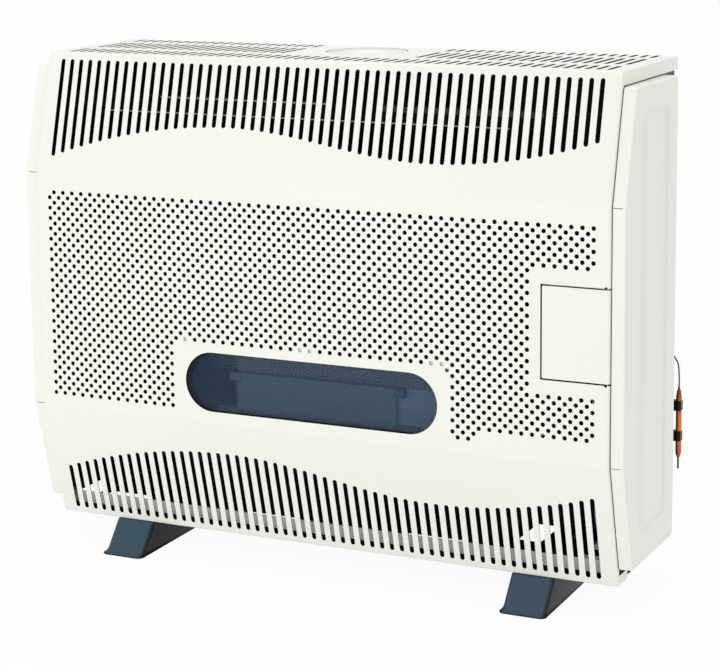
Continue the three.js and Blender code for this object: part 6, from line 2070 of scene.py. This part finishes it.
@dataclass
class Knob:
    """The control knob with ribs and a grip bar."""

    shop: Workshop
    centre: Point2 = (350.0, 376.0)
    radius: float = 21.3
    front: float = -114.0
    rear: float = -94.0
    hollow: float = 18.0
    floor: float = -106.0
    hub: float = 8.0
    hub_rear: float = -97.6
    bore: float = 4.3
    bore_front: float = -110.3
    rib_count: int = 30
    rib_outline: tuple[Point2, ...] = ((-0.8, -1.2), (0.8, -1.2), (0.7, 0.2), (0.35, 0.65),
                                       (-0.35, 0.65), (-0.7, 0.2))
    rib_lift: float = 0.05
    grip_half: float = 4.0
    grip_reach: float = 18.0
    grip_front: float = -119.0
    grip_bevel: float = 1.2
    index_half: float = 0.7
    index_ends: Point2 = (7.0, 16.0)

    def add_body(self) -> None:
        """Adds the turned body."""
        r = self.radius
        profile = [(0.0, self.front), (r - 4.0, self.front), (r - 1.6, self.front + 0.5),
                   (r - 0.4, self.front + 1.7),
                   (r, self.front + 3.4), (r, self.rear - 1.0), (r - 0.5, self.rear),
                   (self.hollow, self.rear),
                   (self.hollow, self.floor), (self.hub, self.floor), (self.hub, self.hub_rear),
                   (self.bore, self.hub_rear), (self.bore, self.bore_front), (0.0, self.bore_front)]
        Draft().turned(Axis.Y, self.centre, profile, 60).closed(distance=0.01).piece(
            "knob_body", BLACK, Body.KNOB, "control_knob")

    def add_ribs(self) -> None:
        """Adds the ribs round the knob, each drawn in at its ends."""
        rows = [[(u * width, y, v + drop) for u, v in self.rib_outline]
                for y, width, drop in ((self.front + 4.2, 0.5, -0.5), (self.front + 5.4, 1.0, 0.0),
                                      (self.rear - 1.6, 1.0, 0.0), (self.rear - 0.8, 0.5, -0.5))]
        rib = Draft().quads(rows, around=True)
        rib.face(rows[0])
        rib.face(rows[-1])
        reach = self.radius + self.rib_lift
        turns = [2 * math.pi * index / self.rib_count for index in range(self.rib_count)]
        places = [((self.centre[0] + reach * math.sin(turn), 0.0, self.centre[1] + reach * math.cos(turn)),
                   (0.0, turn, 0.0)) for turn in turns]
        ribs = self.shop.scatter("knob_ribs", rib.closed(UP, 0.005).object("rib", BLACK), places, BLACK)
        dressed(settle(ribs, 50.0), Body.KNOB, BLACK)

    def add_bar(self, name: str, finish: Finish, half: float, ends: Point2, faces: Point2,
                bevel: float) -> None:
        """Adds an upright bar on the knob's face.

        Args:
            name: the piece's name.
            finish: its finish.
            half: half its width.
            ends: its low and high end from the knob's middle.
            faces: its front and its back.
            bevel: its edges' radius.
        """
        x, z = self.centre
        outline = round_rectangle((x - half, x + half), (z + ends[0], z + ends[1]), min(half - 0.1, 2.5), 4)
        self.shop.plate(Axis.Y.plane(faces[0]), outline).closed(distance=0.005).piece(
            name, finish, Body.KNOB, wall=faces[1] - faces[0], bevel=bevel)

    def build(self) -> None:
        """Builds the knob."""
        self.add_body()
        self.add_ribs()
        self.add_bar("knob_grip", BLACK, self.grip_half, (-self.grip_reach, self.grip_reach),
                     (self.grip_front, self.front + 1), self.grip_bevel)
        self.add_bar("knob_index", PORCELAIN, self.index_half, self.index_ends,
                     (self.grip_front - 0.1, self.grip_front + 0.6), 0.0)


@dataclass
class Igniter:
    """The red push button and the dots of the knob's scale."""

    shop: Workshop
    centre: Point2 = (380.0, 322.0)
    radius: float = 7.0
    front: float = -103.0
    rear: float = -95.0
    stem: float = 3.5
    stem_rear: float = -78.5
    knob: Point2 = (350.0, 376.0)
    plate: float = -88.0
    scale_radius: float = 27.5
    scale_turn: Point2 = (90.0, 360.0)
    dot_radius: float = 1.0
    dot_count: int = 9

    def build(self) -> None:
        """Builds the button and the scale."""
        r, d = self.radius, self.dot_radius
        profile = [(0.0, self.front + 0.9), (r * 0.5, self.front + 0.6), (r * 0.8, self.front + 0.1),
                   (r * 0.92, self.front), (r, self.front + 0.8), (r, self.rear - 0.5), (r - 0.5, self.rear),
                   (self.stem, self.rear), (self.stem, self.stem_rear), (0.0, self.stem_rear)]
        Draft().turned(Axis.Y, self.centre, profile, 40).closed(distance=0.005).piece(
            "igniter_cap", RED, Body.BUTTON, "piezo_button", sharp=40.0)
        disc = [(0.0, -0.25), (d * 0.8, -0.25), (d, -0.1), (d, 0.1), (0.0, 0.1)]
        dot = Draft().turned(Axis.Y, (0.0, 0.0), disc, 14)
        places = [((x, self.plate, z), (0.0, 0.0, 0.0))
                  for x, z in arc(self.knob, self.scale_radius, *self.scale_turn, self.dot_count - 1)]
        dots = self.shop.scatter("scale_dots", dot.closed(distance=0.005).object("dot", BLACK), places, BLACK)
        dressed(settle(dots, 50.0), Body.HEATER, BLACK)


# ------------------------------------------------------------------ studio


@dataclass(frozen=True)
class Studio:
    """Floor, light and camera."""

    sensor: float = 36.0
    lens: float = 108.65
    shift: float = -0.15
    yaw: float = -25.64
    tilt: float = 9.63
    roll: float = 0.60
    offset: Point3 = (-12.9, 2865.3, -111.5)
    pivot: Point3 = (0.0, 0.0, 340.0)
    floor_reach: float = 30.0
    floor_grey: float = 0.95
    floor_white: float = 0.95
    sky_colour: Colour = (0.96, 0.98, 1.0)
    sky_strength: float = 0.85

    def add_camera(self) -> None:
        """Sets the camera at the photograph's angle."""
        data = adjust(bpy.data.cameras.new("camera"), sensor_width=self.sensor, lens=self.lens,
                      shift_y=self.shift, clip_start=0.05, clip_end=100.0)
        turn = (Matrix.Rotation(math.radians(self.tilt), 3, "X")
                @ Matrix.Rotation(math.radians(self.yaw), 3, "Z"))
        right, ahead, up = (turn.transposed() @ Vector(axis) for axis in ((1, 0, 0), (0, 1, 0), (0, 0, 1)))
        spun = math.radians(self.roll)
        across = right * math.cos(spun) - up * math.sin(spun)
        upward = right * math.sin(spun) + up * math.cos(spun)
        place = (Vector(self.pivot) - right * self.offset[0] - ahead * self.offset[1]
                 - up * self.offset[2]) * MM
        camera = placed("camera", data)
        facing = Matrix((across, upward, -ahead)).transposed().to_4x4()
        camera.matrix_world = Matrix.Translation(place) @ facing
        bpy.context.scene.camera = camera

    def add_lamp(self, name: str, place: Point3, aim: Point3, size: Point2, watts: float,
                 tint: Colour) -> None:
        """Adds a soft box.

        Args:
            name: the lamp's name.
            place: where it hangs, in metres.
            aim: what it points at.
            size: width and height in metres.
            watts: its power.
            tint: its colour.
        """
        data = adjust(bpy.data.lights.new(name, "AREA"), shape="RECTANGLE", size=size[0], size_y=size[1],
                      energy=watts, color=tint)
        adjust(placed(name, data), location=place, rotation_mode="QUATERNION",
               rotation_quaternion=(Vector(aim) - Vector(place)).to_track_quat("-Z", "Y"))

    def white_for_camera(self, graph: ShaderGraph, lit: Shade, white: Shade, share: float) -> Shade:
        """Mixes a lit shader with plain white where the camera, metal or glass sees it.

        Args:
            graph: the material's or world's graph.
            lit: the lit shader.
            white: the white shader.
            share: how much of the white shows.

        Returns:
            The mixed shader.
        """
        rays = graph.add("ShaderNodeLightPath").outputs
        seen, mirrored, through = (Shade(graph, rays[f"Is {kind} Ray"])
                                   for kind in ("Camera", "Glossy", "Transmission"))
        every = seen.larger(mirrored).larger(through)
        return graph.node("ShaderNodeMixShader", None, {0: every * share, 1: lit, 2: white})

    def add_floor(self) -> None:
        """Adds the pale floor."""
        reach = self.floor_reach
        data = bpy.data.meshes.new("floor")
        data.from_pydata([(-reach, -reach, 0), (reach, -reach, 0), (reach, reach, 0), (-reach, reach, 0)],
                         [], [(0, 1, 2, 3)])
        floor = placed("floor", data)
        paint = bpy.data.materials.new("floor_paint")
        graph = ShaderGraph(paint)
        diffuse = graph.node("ShaderNodeBsdfDiffuse", None, {"Color": (*[self.floor_grey] * 3, 1.0)})
        glow = graph.node("ShaderNodeEmission", None, {"Strength": 1.0})
        mixed = self.white_for_camera(graph, diffuse, glow, self.floor_white)
        graph.add("ShaderNodeOutputMaterial", None, {"Surface": mixed})
        data.materials.append(paint)

    def add_sky(self) -> None:
        """Makes the world an even soft light that looks white."""
        bpy.context.scene.world = bpy.data.worlds.new("studio")
        graph = ShaderGraph(bpy.context.scene.world)
        soft = graph.node("ShaderNodeBackground", None,
                          {"Color": (*self.sky_colour, 1.0), "Strength": self.sky_strength})
        white = graph.node("ShaderNodeBackground", None, {"Strength": 1.0})
        graph.add("ShaderNodeOutputWorld", None, {"Surface": self.white_for_camera(graph, soft, white, 1.0)})

    def build(self) -> None:
        """Builds the studio."""
        self.add_camera()
        self.add_floor()
        self.add_sky()
        self.add_lamp("key", (-0.7, -3.3, 0.5), (0, 0, 0.3), (2.4, 1.5), 26.0, (1.0, 0.99, 0.975))
        self.add_lamp("overhead", (0, 0.2, 2.6), (0, 0, 0.5), (2.0, 1.4), 13.0, (1.0, 1.0, 1.0))
        bpy.context.scene.view_settings.view_transform = "Standard"


# ------------------------------------------------------------------ the heater


@dataclass
class Nodes:
    """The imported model's own nodes, given procedural finishes."""

    frame: dict[str, Any]

    def build(self) -> None:
        """Gives every node its own finish or that of its slot."""
        for row in self.frame["record"]["subparts"]:
            node = self.frame["nodes"][row["node"]]
            material = BY_NODE.get(row["node"], BY_SLOT[row["material_slot"]]).material()
            if node.material_slots:
                node.material_slots[0].material = material
            else:
                node.data.materials.append(material)


def main() -> None:
    """Builds the heater and its studio."""
    logging.basicConfig(level=logging.INFO, format="%(name)s: %(message)s")
    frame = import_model()
    Studio().build()
    Nodes(frame).build()
    shop = Workshop()
    casing = Casing(shop)
    for assembly in (casing, SideTray(casing, False), SideTray(casing, True), ControlFlap(shop),
                     Foot(shop, "left", -289.0), Foot(shop, "right", 289.0), Screws(shop), Window(shop),
                     Outlet(), Plates(shop), Thermostat(shop), Knob(shop), Igniter(shop)):
        assembly.build()


if __name__ == "__main__":
    main()
